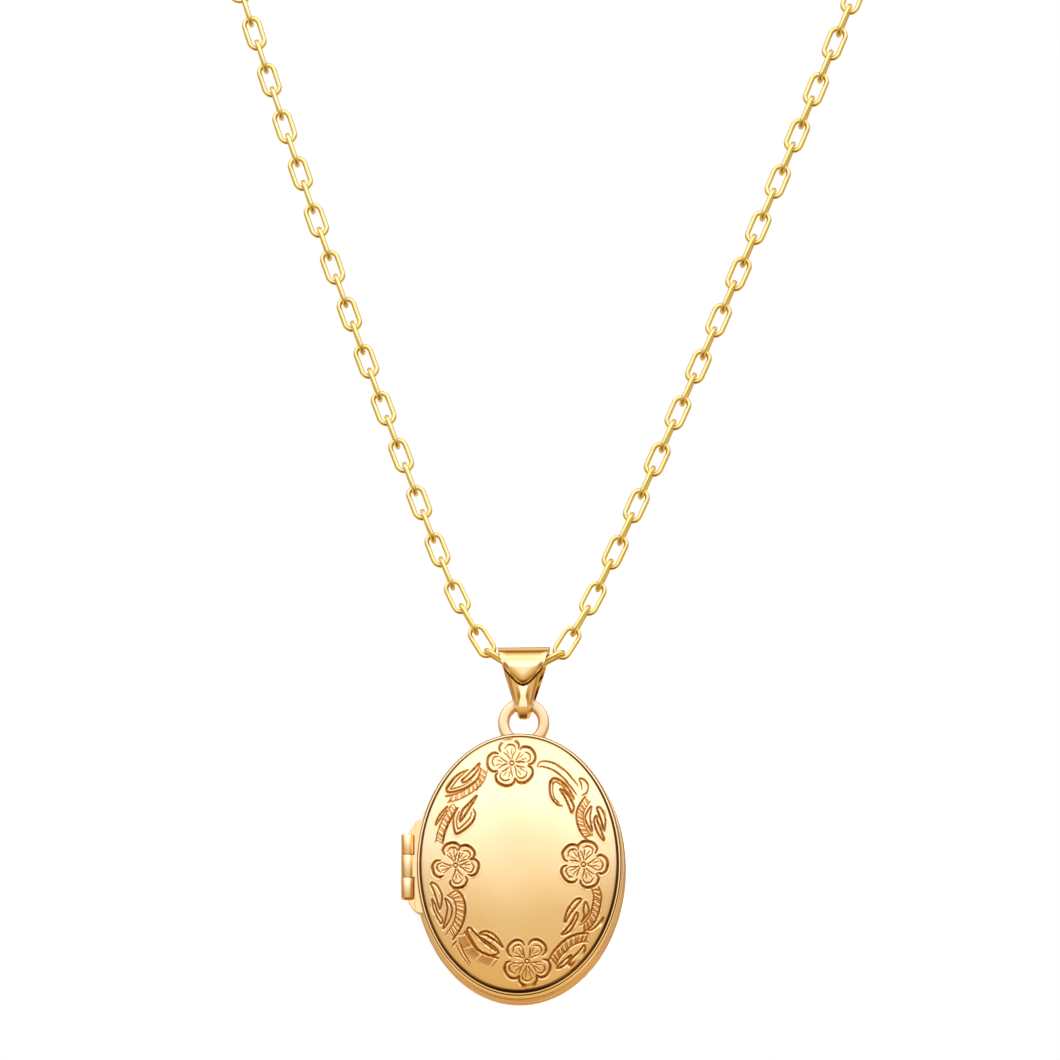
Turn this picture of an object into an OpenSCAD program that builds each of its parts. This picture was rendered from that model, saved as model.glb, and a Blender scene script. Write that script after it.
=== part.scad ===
// An oval hinged locket with a bail, on a cable chain that ends in a spring-ring clasp.
// It hangs upright: +Z is up, the engraved face looks towards -Y, and +X is to the right of
// someone who looks at that face. The origin is the axis of the bail's round top.

/* [Case] */
// Width of the case at its widest, the rear shell's side
case_w = 15.9; // [13:0.1:24]
// Height of the case at its widest
case_h = 20.6; // [17:0.1:32]
// How far the case hangs to the hinge side of its ring
case_shift = 0.3; // [0:0.1:1]
// Depth of the cover's side band
cover_d = 0.8; // [0.7:0.05:2]
// Depth of the rear shell's side band
rear_d = 2.1; // [1.9:0.05:5]
// Height of the cover's face above its ledge
face_step = 0.33; // [0.15:0.01:0.6]
// Rise of the cover's dome above the face's edge
face_rise = 0.77; // [0.5:0.01:2]
// Rise of the rear shell's dome
rear_rise = 0.5; // [0.3:0.01:2]
// Wall of the stamped domes
wall = 0.33; // [0.2:0.01:0.45]
// Thickness of the cover's wall at the closing line
lip_t = 0.36; // [0.25:0.01:0.6]
// How far the rear shell's side flares out towards the back
rear_flare = 0.12; // [0.05:0.01:0.3]
// How far the cover's edge stands inside the rear shell's edge
cover_step = 0.05; // [0.02:0.01:0.2]
// How far the cover's side leans in from the closing line to the ledge
cover_lean = 0.12; // [0.05:0.01:0.4]
// Width of the ledge round the cover's face
ledge_w = 0.3; // [0.15:0.01:0.8]
// Gap between the two halves along the closing line
parting_gap = 0.04; // [0.02:0.01:0.1]

/* [Closing collar] */
// Thickness of the collar
collar_t = 0.35; // [0.2:0.01:0.5]
// How far the collar stands up into the cover
collar_up = 0.5; // [0.4:0.01:0.6]
// Clearance between the collar and the inside of the cover
collar_clear = 0.05; // [0.03:0.01:0.1]
// Radius of the snap bead
bead_r = 0.12; // [0.1:0.01:0.15]
// Length of the snap bead
bead_l = 1.6; // [1:0.1:3]
// How far the bead stands out of the collar
bead_out = 0.08; // [0.06:0.01:0.1]

/* [Pictures] */
// Width of the photo frames' rim
frame_w = 0.9; // [0.6:0.05:1.5]
// Thickness of the photo frames
frame_t = 0.4; // [0.3:0.05:0.5]
// Gap between a photo frame or a paper and the half it sits in
frame_gap = 0.05; // [0.02:0.01:0.1]
// Clearance between a photo frame and the collar
frame_clear = 0.05; // [0.03:0.01:0.1]
// Thickness of the clear windows
window_t = 0.09; // [0.05:0.01:0.12]
// Thickness of the paper inserts
photo_t = 0.06; // [0.04:0.01:0.1]
// How far the windows and papers reach under the frame's rim
tuck = 0.16; // [0.1:0.01:0.4]

/* [Hinge] */
// Radius of the hinge barrel
barrel_r = 0.5; // [0.4:0.01:0.52]
// Length of the hinge barrel
barrel_l = 4.9; // [4:0.1:9]
// Length of the middle knuckle
mid_l = 1.7; // [1:0.1:2]
// Gap between knuckles
knuckle_gap = 0.05; // [0.03:0.01:0.1]
// Distance of the hinge's axis outside the case's side
hinge_out = 0.43; // [0.43:0.01:0.6]
// Radius of the hinge pin
pin_r = 0.24; // [0.15:0.01:0.28]
// Running clearance of the pin in the middle knuckle
pin_clear = 0.02; // [0.01:0.01:0.05]
// Radius of the sunk ends of the barrel
sink_r = 0.38; // [0.3:0.01:0.4]
// Depth of the sunk ends of the barrel
sink_d = 0.3; // [0.1:0.01:0.5]
// Height of the hinge leaves where they meet the case
leaf_h = 7.2; // [6.2:0.1:10]
// Thickness of the hinge leaves
leaf_t = 0.28; // [0.2:0.01:0.32]
// How deep the soldered pieces are let into the case's wall
bite = 0.13; // [0.05:0.01:0.2]

/* [Ring and bail] */
// Outer radius of the pendant ring
ring_r = 1.95; // [1.6:0.05:2.6]
// Radius of the hole in the pendant ring
ring_hole_r = 1.08; // [0.9:0.02:1.5]
// Thickness of the pendant ring, front to back
ring_t = 0.7; // [0.4:0.05:0.9]
// Rounding of the pendant ring's edges
ring_round = 0.25; // [0.1:0.01:0.3]
// How far the ring reaches below the top of the case
ring_sink = 1.17; // [0.9:0.01:1.6]
// Distance from the closing line back to the middle of the ring
ring_back = 0.5; // [0.4:0.05:1.2]
// Outer radius of the bail's round top
bail_r = 1.55; // [1.35:0.05:2.4]
// Thickness of the bail's sheet
bail_t = 0.35; // [0.25:0.01:0.4]
// Thickness of the bail's tip
tip_t = 0.6; // [0.4:0.01:0.8]
// Distance from the bail's top axis down to the ring's axis
bail_drop = 2.72; // [2.4:0.02:4]
// Half the bail's width at its top
bail_half_w = 2; // [1.6:0.05:2.6]
// How much each side of the bail narrows in a millimetre of height
bail_taper = 0.3; // [0.25:0.01:0.32]
// Clearance round the pendant ring inside the bail's eye
eye_clear = 0.06; // [0.04:0.01:0.1]

/* [Chain] */
// Distance from joint to joint
pitch = 1.98; // [1.8:0.01:3]
// Diameter of the chain's wire
wire_d = 0.38; // [0.2:0.01:0.42]
// Outer width of a link
link_w = 1.54; // [1.3:0.02:1.7]
// Play in each joint
joint_play = 0.12; // [0.08:0.01:0.16]
// Height of the middle link above the bail's axis
middle_z = 0.2; // [0:0.05:0.3]
// Links in the left strand
left_links = 28; // [4:2:40]
// Links in the right strand
right_links = 29; // [5:2:41]

/* [Clasp] */
// Radius of the jump rings, at the middle of their wire
jump_r = 0.95; // [0.8:0.05:1.4]
// Diameter of the jump rings' wire
jump_d = 0.3; // [0.2:0.01:0.33]
// Radius of the clasp's eye, at the middle of its wire
eye_r = 0.62; // [0.55:0.01:1]
// Radius of the clasp's ring, at the middle of its tube
clasp_r = 2; // [1.8:0.05:3]
// Radius of the clasp's tube
tube_r = 0.5; // [0.45:0.01:0.6]
// Wall of the clasp's tube
tube_t = 0.12; // [0.08:0.01:0.14]
// Clearance of the lever inside the tube
lever_clear = 0.05; // [0.03:0.01:0.08]
// Angle of the clasp's gap
gap_deg = 40; // [30:1:45]
// Length of the end tag
tag_l = 4.6; // [4:0.1:7]
// Width of the end tag
tag_w = 2.4; // [2:0.1:3]
// Thickness of the end tag
tag_t = 0.4; // [0.3:0.05:0.5]
// Radius of the tag's hole for the clasp
tag_hole_r = 0.75; // [0.6:0.01:0.8]
// Radius of the tag's hole for its jump ring
tag_ring_hole_r = 0.5; // [0.4:0.01:0.55]

/* [Hidden] */

locket_gold = "#e0b060";
satin_gold = "#e8c478";
chain_gold = "#e6c96b";
eps = 0.01;

// The bail's eye turns round the middle of the ring's top section.
ring_w = ring_r - ring_hole_r;
eye_in_r = norm([ring_w / 2, ring_t / 2]) + eye_clear;
ring_z = -bail_drop - (ring_r + ring_hole_r) / 2;
bail_in_r = bail_r - bail_t;
tip_z = -bail_drop - eye_in_r - tip_t;

// The case hangs under the ring, with the ring's middle behind the closing line.
case_x = -case_shift;
case_y = -ring_back;
case_z = ring_z - ring_r + ring_sink - case_h / 2;
seg = 72;

// Insets are measured inwards from the case's widest outline.
cover_in = rear_flare + cover_step;
ledge_in = cover_in + cover_lean;
shoulder = 0.07;
face_in = ledge_in + shoulder + ledge_w;
cover_wall_in = cover_in + lip_t;
collar_in = cover_wall_in + collar_clear;
collar_in_2 = collar_in + collar_t;
frame_in = collar_in_2 + frame_clear;
window_in = frame_in + frame_w - tuck;
face_edge_y = cover_d + face_step;

// The snap groove runs round the inside of the cover, level with the bead.
bead_y = 0.3;
groove_clear = 0.07;
groove_in = collar_in - bead_out - groove_clear;

hinge_x = case_x - case_w / 2 - hinge_out;
outer_l = (barrel_l - mid_l) / 2 - knuckle_gap;
leaf_front_gap = 0.05;
leaf_rear_gap = 0.03;

// A point of an ellipse drawn in from the case's outline.
function oval(inset, t) =
  [case_x + (case_w / 2 - inset) * cos(t), case_z + (case_h / 2 - inset) * sin(t)];

// A dome's height at a share of its half-width: flat in the middle, steeper at the edge.
function dome(rise, share) = rise * (1 - pow(share, 2.4));

// Rings of points for one half of the case. Each entry of a profile is [inset, depth, share],
// where share draws a dome's ring in from the ring at that inset.
function ring_points(entry, way) = [for (i = [0:seg - 1])
  let (t = 360 * i / seg, edge = oval(entry[0], t))
  [case_x + (edge[0] - case_x) * entry[2], case_y + way * entry[1],
   case_z + (edge[1] - case_z) * entry[2]]];

// The faces between ring j and the ring after it, turned the right way for this half.
function band(a, b, flip) = [for (i = [0:seg - 1])
  let (k = (i + 1) % seg, p = a * seg + i, q = a * seg + k, r = b * seg + i, s = b * seg + k)
  each flip ? [[p, r, q], [q, r, s]] : [[p, q, r], [q, s, r]]];

function fan(a, pole, flip) = [for (i = [0:seg - 1])
  let (p = a * seg + i, q = a * seg + (i + 1) % seg)
  flip ? [p, pole, q] : [p, q, pole]];

// A hollow half: the outside from the closing line to its crown, then the inside back again.
module half_shell(outside, inside, crown, inner_crown, way) {
  n = len(outside);
  m = len(inside);
  points = concat([for (e = outside) each ring_points(e, way)],
    [for (e = inside) each ring_points(e, way)],
    [[case_x, case_y + way * crown, case_z], [case_x, case_y + way * inner_crown, case_z]]);
  flip = way < 0;
  top = (n + m) * seg;
  polyhedron(points, concat(
    [for (j = [0:n - 2]) each band(j, j + 1, flip)],
    fan(n - 1, top, flip),
    [for (j = [n:n + m - 2]) each band(j + 1, j, flip)],
    fan(n + m - 1, top + 1, !flip),
    band(n, 0, flip)));
}

dome_shares = [0.97, 0.9, 0.78, 0.6, 0.4, 0.2];
inner_shares = [0.9, 0.7, 0.4];

module front_cover() {
  side_y = cover_d - shoulder;
  roof_in = face_in + wall;
  roof_y = face_edge_y - wall;
  color(locket_gold) half_shell(
    concat([[cover_in, parting_gap, 1], [ledge_in, side_y, 1],
      [ledge_in + 0.3 * shoulder, side_y + 0.7 * shoulder, 1],
      [ledge_in + shoulder, cover_d, 1], [face_in, cover_d, 1], [face_in, face_edge_y, 1]],
      [for (s = dome_shares) [face_in, face_edge_y + dome(face_rise, s), s]]),
    concat([[cover_wall_in, parting_gap, 1], [cover_wall_in, bead_y - bead_r - 0.03, 1],
      [groove_in, bead_y - bead_r, 1], [groove_in, bead_y + bead_r, 1],
      [cover_wall_in, bead_y + bead_r + 0.03, 1], [cover_wall_in, collar_up + 0.05, 1],
      [roof_in, roof_y, 1]],
      [for (s = inner_shares) [roof_in, roof_y + dome(face_rise, s), s]]),
    face_edge_y + face_rise, roof_y + face_rise, -1);
}

module rear_shell() {
  edge_in = 0.45;
  edge_y = rear_d + 0.15;
  floor_y = edge_y - wall;
  color(locket_gold) half_shell(
    concat([[rear_flare, 0, 1], [0, rear_d - 0.5, 1], [0.03, rear_d - 0.2, 1],
      [0.13, rear_d, 1], [edge_in, edge_y, 1]],
      [for (s = dome_shares) [edge_in, edge_y + dome(rear_rise, s), s]]),
    concat([[collar_in, 0, 1], [collar_in, floor_y - 0.2, 1], [collar_in_2, floor_y, 1]],
      [for (s = inner_shares) [collar_in_2, floor_y + dome(rear_rise, s), s]]),
    edge_y + rear_rise, floor_y + rear_rise, 1);
}

// A flat oval plate or rim between two depths behind the closing line.
module oval_plate(inset, from_y, to_y) {
  translate([0, case_y + to_y, 0]) rotate([90, 0, 0]) linear_extrude(to_y - from_y)
    polygon([for (i = [0:seg - 1]) oval(inset, 360 * i / seg)]);
}

module oval_rim(outer_in, inner_in, from_y, to_y) {
  translate([0, case_y + to_y, 0]) rotate([90, 0, 0]) linear_extrude(to_y - from_y)
    difference() {
      polygon([for (i = [0:seg - 1]) oval(outer_in, 360 * i / seg)]);
      polygon([for (i = [0:seg - 1]) oval(inner_in, 360 * i / seg)]);
    }
}

collar_down = rear_d - 0.4;

module closing_collar() {
  color(satin_gold) oval_rim(collar_in, collar_in_2, -collar_up, collar_down);
}

module snap_bead() {
  color(satin_gold) translate([case_x + case_w / 2 - collar_in + bead_out - bead_r,
    case_y - bead_y, case_z - bead_l / 2]) cylinder(r = bead_r, h = bead_l, $fn = 24);
}

// Each picture is a stack: the sprung rim, the clear window behind it, then the paper. The
// front stack stands off the cover's roof, and the rear one off the collar's foot.
front_frame_y = face_edge_y - wall - frame_gap;
rear_frame_y = collar_down - frame_t - 2 * frame_gap;

module front_photo_frame() {
  color(satin_gold) oval_rim(frame_in, frame_in + frame_w, -front_frame_y, -front_frame_y + frame_t);
}

module rear_photo_frame() {
  color(satin_gold) oval_rim(frame_in, frame_in + frame_w, rear_frame_y, rear_frame_y + frame_t);
}

module front_window() {
  color("#dfe8ea", 0.4) oval_plate(window_in, -front_frame_y - window_t, -front_frame_y);
}

module rear_window() {
  back_y = rear_frame_y + frame_t;
  color("#dfe8ea", 0.4) oval_plate(window_in, back_y, back_y + window_t);
}

module front_photo() {
  back_y = -front_frame_y - window_t;
  color("#f2eee2") oval_plate(window_in, back_y - photo_t, back_y);
}

module rear_photo() {
  back_y = rear_frame_y + frame_t + window_t;
  color("#f2eee2") oval_plate(window_in, back_y, back_y + photo_t);
}

// The pendant ring's section is a rectangle with rounded corners, turned round its axis.
module ring_section() {
  mid_r = (ring_r + ring_hole_r) / 2;
  square_w = ring_w - 2 * ring_round;
  square_t = ring_t - 2 * ring_round;
  translate([mid_r, 0]) {
    square([ring_w, square_t], center = true);
    square([square_w, ring_t], center = true);
    for (i = [-1, 1], j = [-1, 1])
      translate([i * square_w / 2, j * square_t / 2]) circle(r = ring_round, $fn = 24);
  }
}

module pendant_ring() {
  color(satin_gold) difference() {
    translate([0, 0, ring_z]) rotate([90, 0, 0]) rotate_extrude($fn = 64) ring_section();
    oval_plate(rear_flare + bite, ring_back - ring_t, ring_back + ring_t);
  }
}

// A hinge leaf's outline: as tall as the barrel at the axis and taller at the case.
module leaf_plate(from_y, to_y, inset) {
  top = leaf_h / 2;
  low = barrel_l / 2 + 0.05;
  rise = top - low;
  side = [[0, low], [0.12, low + 0.32 * rise], [0.5, low + 0.75 * rise], [1, top], [3, top]];
  difference() {
    translate([hinge_x, case_y + to_y, case_z]) rotate([90, 0, 0]) linear_extrude(to_y - from_y)
      polygon(concat(side, [for (i = [len(side) - 1:-1:0]) [side[i][0], -side[i][1]]]));
    oval_plate(inset + bite, from_y - eps, to_y + eps);
  }
}

module on_hinge(z) {
  translate([hinge_x, case_y, case_z + z]) children();
}

module front_hinge_leaf() {
  cut_l = outer_l + knuckle_gap;
  color(locket_gold) difference() {
    union() {
      difference() {
        leaf_plate(-leaf_front_gap - leaf_t, -leaf_front_gap, cover_in);
        for (z = [mid_l / 2, -mid_l / 2 - cut_l])
          on_hinge(z) cylinder(r = barrel_r + 0.04, h = cut_l, $fn = 48);
      }
      on_hinge(-mid_l / 2) cylinder(r = barrel_r, h = mid_l, $fn = 48);
    }
    on_hinge(-mid_l) cylinder(r = pin_r + pin_clear, h = 2 * mid_l, $fn = 48);
  }
}

module rear_hinge_leaf() {
  gap_l = mid_l + 2 * knuckle_gap;
  color(locket_gold) difference() {
    union() {
      difference() {
        leaf_plate(leaf_rear_gap, leaf_rear_gap + leaf_t, rear_flare);
        on_hinge(-gap_l / 2) cylinder(r = barrel_r + 0.04, h = gap_l, $fn = 48);
      }
      for (z = [gap_l / 2, -gap_l / 2 - outer_l])
        on_hinge(z) cylinder(r = barrel_r, h = outer_l, $fn = 48);
    }
    on_hinge(-barrel_l) cylinder(r = pin_r, h = 2 * barrel_l, $fn = 48);
    for (z = [barrel_l / 2 - sink_d, -barrel_l / 2 - sink_d])
      on_hinge(z) cylinder(r = sink_r, h = 2 * sink_d, $fn = 48);
  }
}

module hinge_pin() {
  pin_l = barrel_l - sink_d;
  color(satin_gold) on_hinge(-pin_l / 2) cylinder(r = pin_r, h = pin_l, $fn = 48);
}

// Two round ends on the Z axis joined by their outer tangents, seen from the side.
module tapered_loop(top_r, low_r, low_z) {
  lean = asin((top_r - low_r) / -low_z);
  steps = 24;
  polygon(concat(
    [for (i = [0:2 * steps]) let (t = -lean + (180 + 2 * lean) * i / (2 * steps))
      top_r * [cos(t), sin(t)]],
    [for (i = [0:steps]) let (t = 180 + lean + (180 - 2 * lean) * i / steps)
      [low_r * cos(t), low_z + low_r * sin(t)]]));
}

// The bail's outline from the front: a V with a round tip.
module bail_front() {
  slope = atan(bail_taper);
  k = cos(slope);
  zero_w = bail_half_w - bail_taper * bail_r;
  end_z = (k * zero_w + tip_z) / (1 - k * bail_taper);
  end_r = end_z - tip_z;
  over = 0.2;
  side_x = end_r * k;
  side_z = end_z - end_r * sin(slope);
  top_x = bail_half_w + bail_taper * over;
  polygon([[side_x, side_z], [top_x, bail_r + over], [-top_x, bail_r + over], [-side_x, side_z]]);
  translate([0, end_z]) circle(r = end_r, $fn = 48);
}

// Both round ends are bored true: the chain lies in the top one, and the ring in the eye.
module bail() {
  bore_cut = 0.01;
  depth = 2 * bail_r + 1;
  color(locket_gold) difference() {
    intersection() {
      translate([-depth / 2, 0, 0]) rotate([90, 0, 90]) linear_extrude(depth) difference() {
        tapered_loop(bail_r, eye_in_r + bail_t, -bail_drop - tip_t + bail_t);
        tapered_loop(bail_in_r - bore_cut, eye_in_r - bore_cut, -bail_drop);
      }
      translate([0, depth / 2, 0]) rotate([90, 0, 0]) linear_extrude(depth) bail_front();
    }
    rotate([0, 90, 0]) cylinder(r = bail_in_r, h = depth, center = true, $fn = 96);
    translate([0, 0, -bail_drop]) rotate([0, 90, 0])
      cylinder(r = eye_in_r, h = depth, center = true, $fn = 64);
  }
}

// One link along Z: two half rings and two straight wires.
link_in_l = pitch + joint_play;
link_mid_r = (link_w - wire_d) / 2;
link_straight = link_in_l + wire_d - 2 * link_mid_r;

module link() {
  for (s = [1, -1]) {
    translate([0, 0, s * link_straight / 2]) rotate([90, 0, 0])
      rotate([0, 0, s > 0 ? 0 : 180]) rotate_extrude(angle = 180, $fn = 32)
      translate([link_mid_r, 0]) circle(r = wire_d / 2, $fn = 16);
    translate([s * link_mid_r, 0, -link_straight / 2])
      cylinder(r = wire_d / 2, h = link_straight, $fn = 16);
  }
}

// A link from joint to joint, face on or edge on.
module link_between(a, b, edge_on) {
  d = b - a;
  translate([(a[0] + b[0]) / 2, 0, (a[1] + b[1]) / 2]) rotate([0, atan2(d[0], d[1]), 0])
    rotate([0, 0, edge_on ? 90 : 0]) link();
}

// Each strand leaves the bail by one steep link, leans well out at first, and then rises
// in a line that slowly steepens. Its lean is measured from upright, in degrees.
left_start = 33;
right_start = 27;
function left_lean(i) = 21.5 - 0.16 * i + 9.5 * exp(-i * i / 4);
function right_lean(i) = 24.6 - 0.11 * i + 7 * exp(-i * i / 4);

function first_joint(side, start) =
  [side * (pitch / 2 + pitch * cos(start)), middle_z + pitch * sin(start)];

left_joints = [for (i = 0, p = first_joint(-1, left_start); i <= left_links;
  p = p + pitch * [-sin(left_lean(i)), cos(left_lean(i))], i = i + 1) p];
right_joints = [for (i = 0, p = first_joint(1, right_start); i <= right_links;
  p = p + pitch * [sin(right_lean(i)), cos(right_lean(i))], i = i + 1) p];

module chain_middle() {
  near = [pitch / 2, middle_z];
  color(chain_gold) {
    link_between([-near[0], middle_z], near, false);
    link_between([-near[0], middle_z], left_joints[0], true);
    link_between(near, right_joints[0], true);
  }
}

module strand(joints) {
  color(chain_gold) for (i = [0:len(joints) - 2])
    link_between(joints[i], joints[i + 1], i % 2 == 1);
}

module chain_left() { strand(left_joints); }

module chain_right() { strand(right_joints); }

// What hangs on a strand's last joint stands in line with its last link.
function end_turn(joints) = let (n = len(joints), d = joints[n - 1] - joints[n - 2])
  atan2(d[0], d[1]);

module at_end(joints, along) {
  last = joints[len(joints) - 1];
  translate([last[0], 0, last[1]]) rotate([0, end_turn(joints), 0]) translate([0, 0, along])
    children();
}

// From a strand's last joint to the middle of the ring's wire in it.
half_joint = 0.2;

module wire_ring(mid_r, d, edge_on) {
  rotate([0, 0, edge_on ? 90 : 0]) rotate([90, 0, 0]) rotate_extrude($fn = 48)
    translate([mid_r, 0]) circle(r = d / 2, $fn = 16);
}

module left_jump_ring() {
  color(chain_gold) at_end(left_joints, jump_r - half_joint) wire_ring(jump_r, jump_d, false);
}

module right_jump_ring() {
  color(chain_gold) at_end(right_joints, jump_r - half_joint) wire_ring(jump_r, jump_d, true);
}

jump_end = 2 * (jump_r - half_joint);
eye_at = jump_end + eye_r - half_joint;
clasp_at = eye_at + eye_r + jump_d / 2 - bite + clasp_r + tube_r;

module clasp_eye() {
  color(chain_gold) at_end(left_joints, eye_at) wire_ring(eye_r, jump_d, true);
}

// The clasp's angles run round its ring from the side, anticlockwise from the front.
gap_from = 30;
gap_to = gap_from + gap_deg;
lever_r = tube_r - tube_t - lever_clear;
knob_at = gap_to + 14;
knob_half_deg = 7;
slot_spare = 2;
lever_travel = gap_deg + 2;
lever_from = gap_from - 6;
lever_to = gap_to + 26;
spring_to = lever_to + 78;

module on_clasp(from_deg, sweep) {
  rotate([90, 0, 0]) rotate([0, 0, from_deg]) rotate_extrude(angle = sweep, $fn = 96) children();
}

module clasp_body() {
  slot_half = 0.2;
  color(chain_gold) at_end(left_joints, clasp_at) difference() {
    on_clasp(gap_to, 360 - gap_deg) translate([clasp_r, 0]) difference() {
      circle(r = tube_r, $fn = 32);
      circle(r = tube_r - tube_t, $fn = 32);
    }
    on_clasp(knob_at - knob_half_deg - slot_spare, lever_travel + 2 * (knob_half_deg + slot_spare))
      translate([clasp_r + lever_r - 0.1, -slot_half]) square([1, 2 * slot_half]);
  }
}

module clasp_lever() {
  neck_half = 0.14;
  knob_w = 0.55;
  color(chain_gold) at_end(left_joints, clasp_at) {
    on_clasp(lever_from, lever_to - lever_from) translate([clasp_r, 0]) circle(r = lever_r, $fn = 32);
    on_clasp(knob_at - knob_half_deg, 2 * knob_half_deg)
      translate([clasp_r, -neck_half]) square([tube_r + 0.15, 2 * neck_half]);
    on_clasp(knob_at - 3, 6) translate([clasp_r + tube_r + 0.08, -knob_w / 2])
      square([0.5, knob_w]);
  }
}

// The spring is a fine helix wound round the tube's curved middle line.
coil_r = lever_r - 0.09;
coil_wire_r = 0.05;
coil_turns = 9;
coil_sides = 6;
coil_steps = 12;

module clasp_spring() {
  rings = coil_turns * coil_steps;
  from_deg = lever_to + 0.5;
  points = [for (i = [0:rings], j = [0:coil_sides - 1])
    let (a = from_deg + (spring_to - from_deg) * i / rings, turn = 360 * i / coil_steps,
      s = 360 * j / coil_sides, r = coil_r + coil_wire_r * cos(s),
      out = clasp_r + r * cos(turn), up = r * sin(turn),
      along = a + coil_wire_r * sin(s) * 180 / (PI * clasp_r))
    [out * cos(along), -up, out * sin(along)]];
  ends = [[for (j = [coil_sides - 1:-1:0]) j], [for (j = [0:coil_sides - 1]) rings * coil_sides + j]];
  sides = [for (i = [0:rings - 1], j = [0:coil_sides - 1])
    let (k = (j + 1) % coil_sides, a = i * coil_sides, b = a + coil_sides)
    each [[a + j, a + k, b + j], [a + k, b + k, b + j]]];
  color("#c9ccd0") at_end(left_joints, clasp_at) polyhedron(points, concat(ends, sides));
}

// The tag is a flat plate with round ends and a hole near each end.
tag_edge = 0.35;
tag_low = tag_ring_hole_r + tag_edge;
tag_play = 0.05;
tag_at = jump_end + half_joint - jump_d / 2 - tag_play - tag_edge;

module end_tag() {
  color(chain_gold) at_end(right_joints, tag_at) rotate([90, 0, 0])
    translate([0, 0, -tag_t / 2]) linear_extrude(tag_t) difference() {
      union() {
        translate([0, tag_low]) circle(r = tag_low, $fn = 48);
        translate([0, tag_l - tag_w / 2]) circle(r = tag_w / 2, $fn = 64);
        polygon([[-tag_low, tag_low], [tag_low, tag_low], [tag_w / 2, tag_l - tag_w / 2],
          [-tag_w / 2, tag_l - tag_w / 2]]);
      }
      translate([0, tag_low]) circle(r = tag_ring_hole_r, $fn = 48);
      translate([0, tag_l - tag_w / 2]) circle(r = tag_hole_r, $fn = 64);
    }
}

front_cover();
rear_shell();
closing_collar();
snap_bead();
pendant_ring();
front_hinge_leaf();
rear_hinge_leaf();
hinge_pin();
front_photo_frame();
rear_photo_frame();
front_window();
rear_window();
front_photo();
rear_photo();
bail();
chain_middle();
chain_left();
chain_right();
left_jump_ring();
right_jump_ring();
clasp_body();
clasp_eye();
clasp_lever();
clasp_spring();
end_tag();
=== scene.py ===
# %% [markdown]
# # An oval locket on a cable chain
# The locket is two thin gold shells on a hinge. It hangs by a ring and a folded bail from a
# chain of small links. The CAD model already gives every part its place and its joints, so
# this script loads it as a fixed frame and builds the finished surfaces around it: a domed
# cover with flowers cut into it, a bail with a creased front, round wire, and the golds.
# All lengths are in millimetres here and become metres when a piece is finished.

import math

import bmesh
import bpy
import numpy as np
from mathutils import Matrix, Vector


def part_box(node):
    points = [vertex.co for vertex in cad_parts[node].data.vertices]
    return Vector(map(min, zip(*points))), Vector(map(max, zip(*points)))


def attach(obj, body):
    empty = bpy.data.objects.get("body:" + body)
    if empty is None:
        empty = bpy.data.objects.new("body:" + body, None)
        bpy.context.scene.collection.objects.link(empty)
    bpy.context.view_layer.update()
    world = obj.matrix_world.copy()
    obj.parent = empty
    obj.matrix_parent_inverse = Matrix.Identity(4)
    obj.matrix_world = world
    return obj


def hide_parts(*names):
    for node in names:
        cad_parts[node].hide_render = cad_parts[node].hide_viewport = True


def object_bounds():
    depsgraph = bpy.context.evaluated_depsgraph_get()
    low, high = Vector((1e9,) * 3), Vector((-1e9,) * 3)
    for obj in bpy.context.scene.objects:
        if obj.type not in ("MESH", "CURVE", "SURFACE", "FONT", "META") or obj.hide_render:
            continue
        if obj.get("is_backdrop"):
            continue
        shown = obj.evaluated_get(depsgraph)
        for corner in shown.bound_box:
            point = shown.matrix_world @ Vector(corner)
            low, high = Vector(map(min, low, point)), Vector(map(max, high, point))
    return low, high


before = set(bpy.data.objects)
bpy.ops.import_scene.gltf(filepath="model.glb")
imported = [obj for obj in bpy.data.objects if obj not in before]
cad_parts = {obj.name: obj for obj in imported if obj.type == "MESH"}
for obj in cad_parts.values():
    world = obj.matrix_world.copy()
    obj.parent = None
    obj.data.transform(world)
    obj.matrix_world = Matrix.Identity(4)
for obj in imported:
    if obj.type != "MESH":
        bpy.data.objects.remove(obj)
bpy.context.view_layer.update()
MM = 0.001
scene = bpy.context.scene


# %% [markdown]
# ## The camera
# A pendant is looked at from a little below, with a long lens so that nothing leans. Moving
# the camera back and using a long lens is better than an orthographic camera, because
# polished metal then still mirrors slightly different directions from top to bottom.

# %% Camera
VIEW_AZIMUTH, VIEW_ELEVATION = math.radians(2.2), math.radians(-14)
VIEW_ACROSS, CAMERA_BACK, SENSOR = 80.0, 600.0, 36.0
AIM_RIGHT, AIM_UP = 0.47, 10.45

right = Vector((math.cos(VIEW_AZIMUTH), math.sin(VIEW_AZIMUTH), 0))
back = Vector((math.sin(VIEW_AZIMUTH) * math.cos(VIEW_ELEVATION),
               -math.cos(VIEW_AZIMUTH) * math.cos(VIEW_ELEVATION), math.sin(VIEW_ELEVATION)))
up = back.cross(right)
camera_data = bpy.data.cameras.new("camera")
camera_data.sensor_width = SENSOR
camera_data.lens = SENSOR * CAMERA_BACK / VIEW_ACROSS
camera_data.clip_start, camera_data.clip_end = 0.01, 20
camera = bpy.data.objects.new("camera", camera_data)
camera.rotation_mode = "QUATERNION"
camera.rotation_quaternion = back.to_track_quat("Z", "Y")
camera.location = (right * AIM_RIGHT + up * AIM_UP + back * CAMERA_BACK) * MM
scene.collection.objects.link(camera)
scene.camera = camera
print("lens", camera_data.lens, "mm")


# %% [markdown]
# ## Small helpers for materials
# A material is a tree of nodes. One function adds a node with its settings and links, so
# each finish below reads as a short list. Colours are written as hex and turned to linear
# light once, here.

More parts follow.
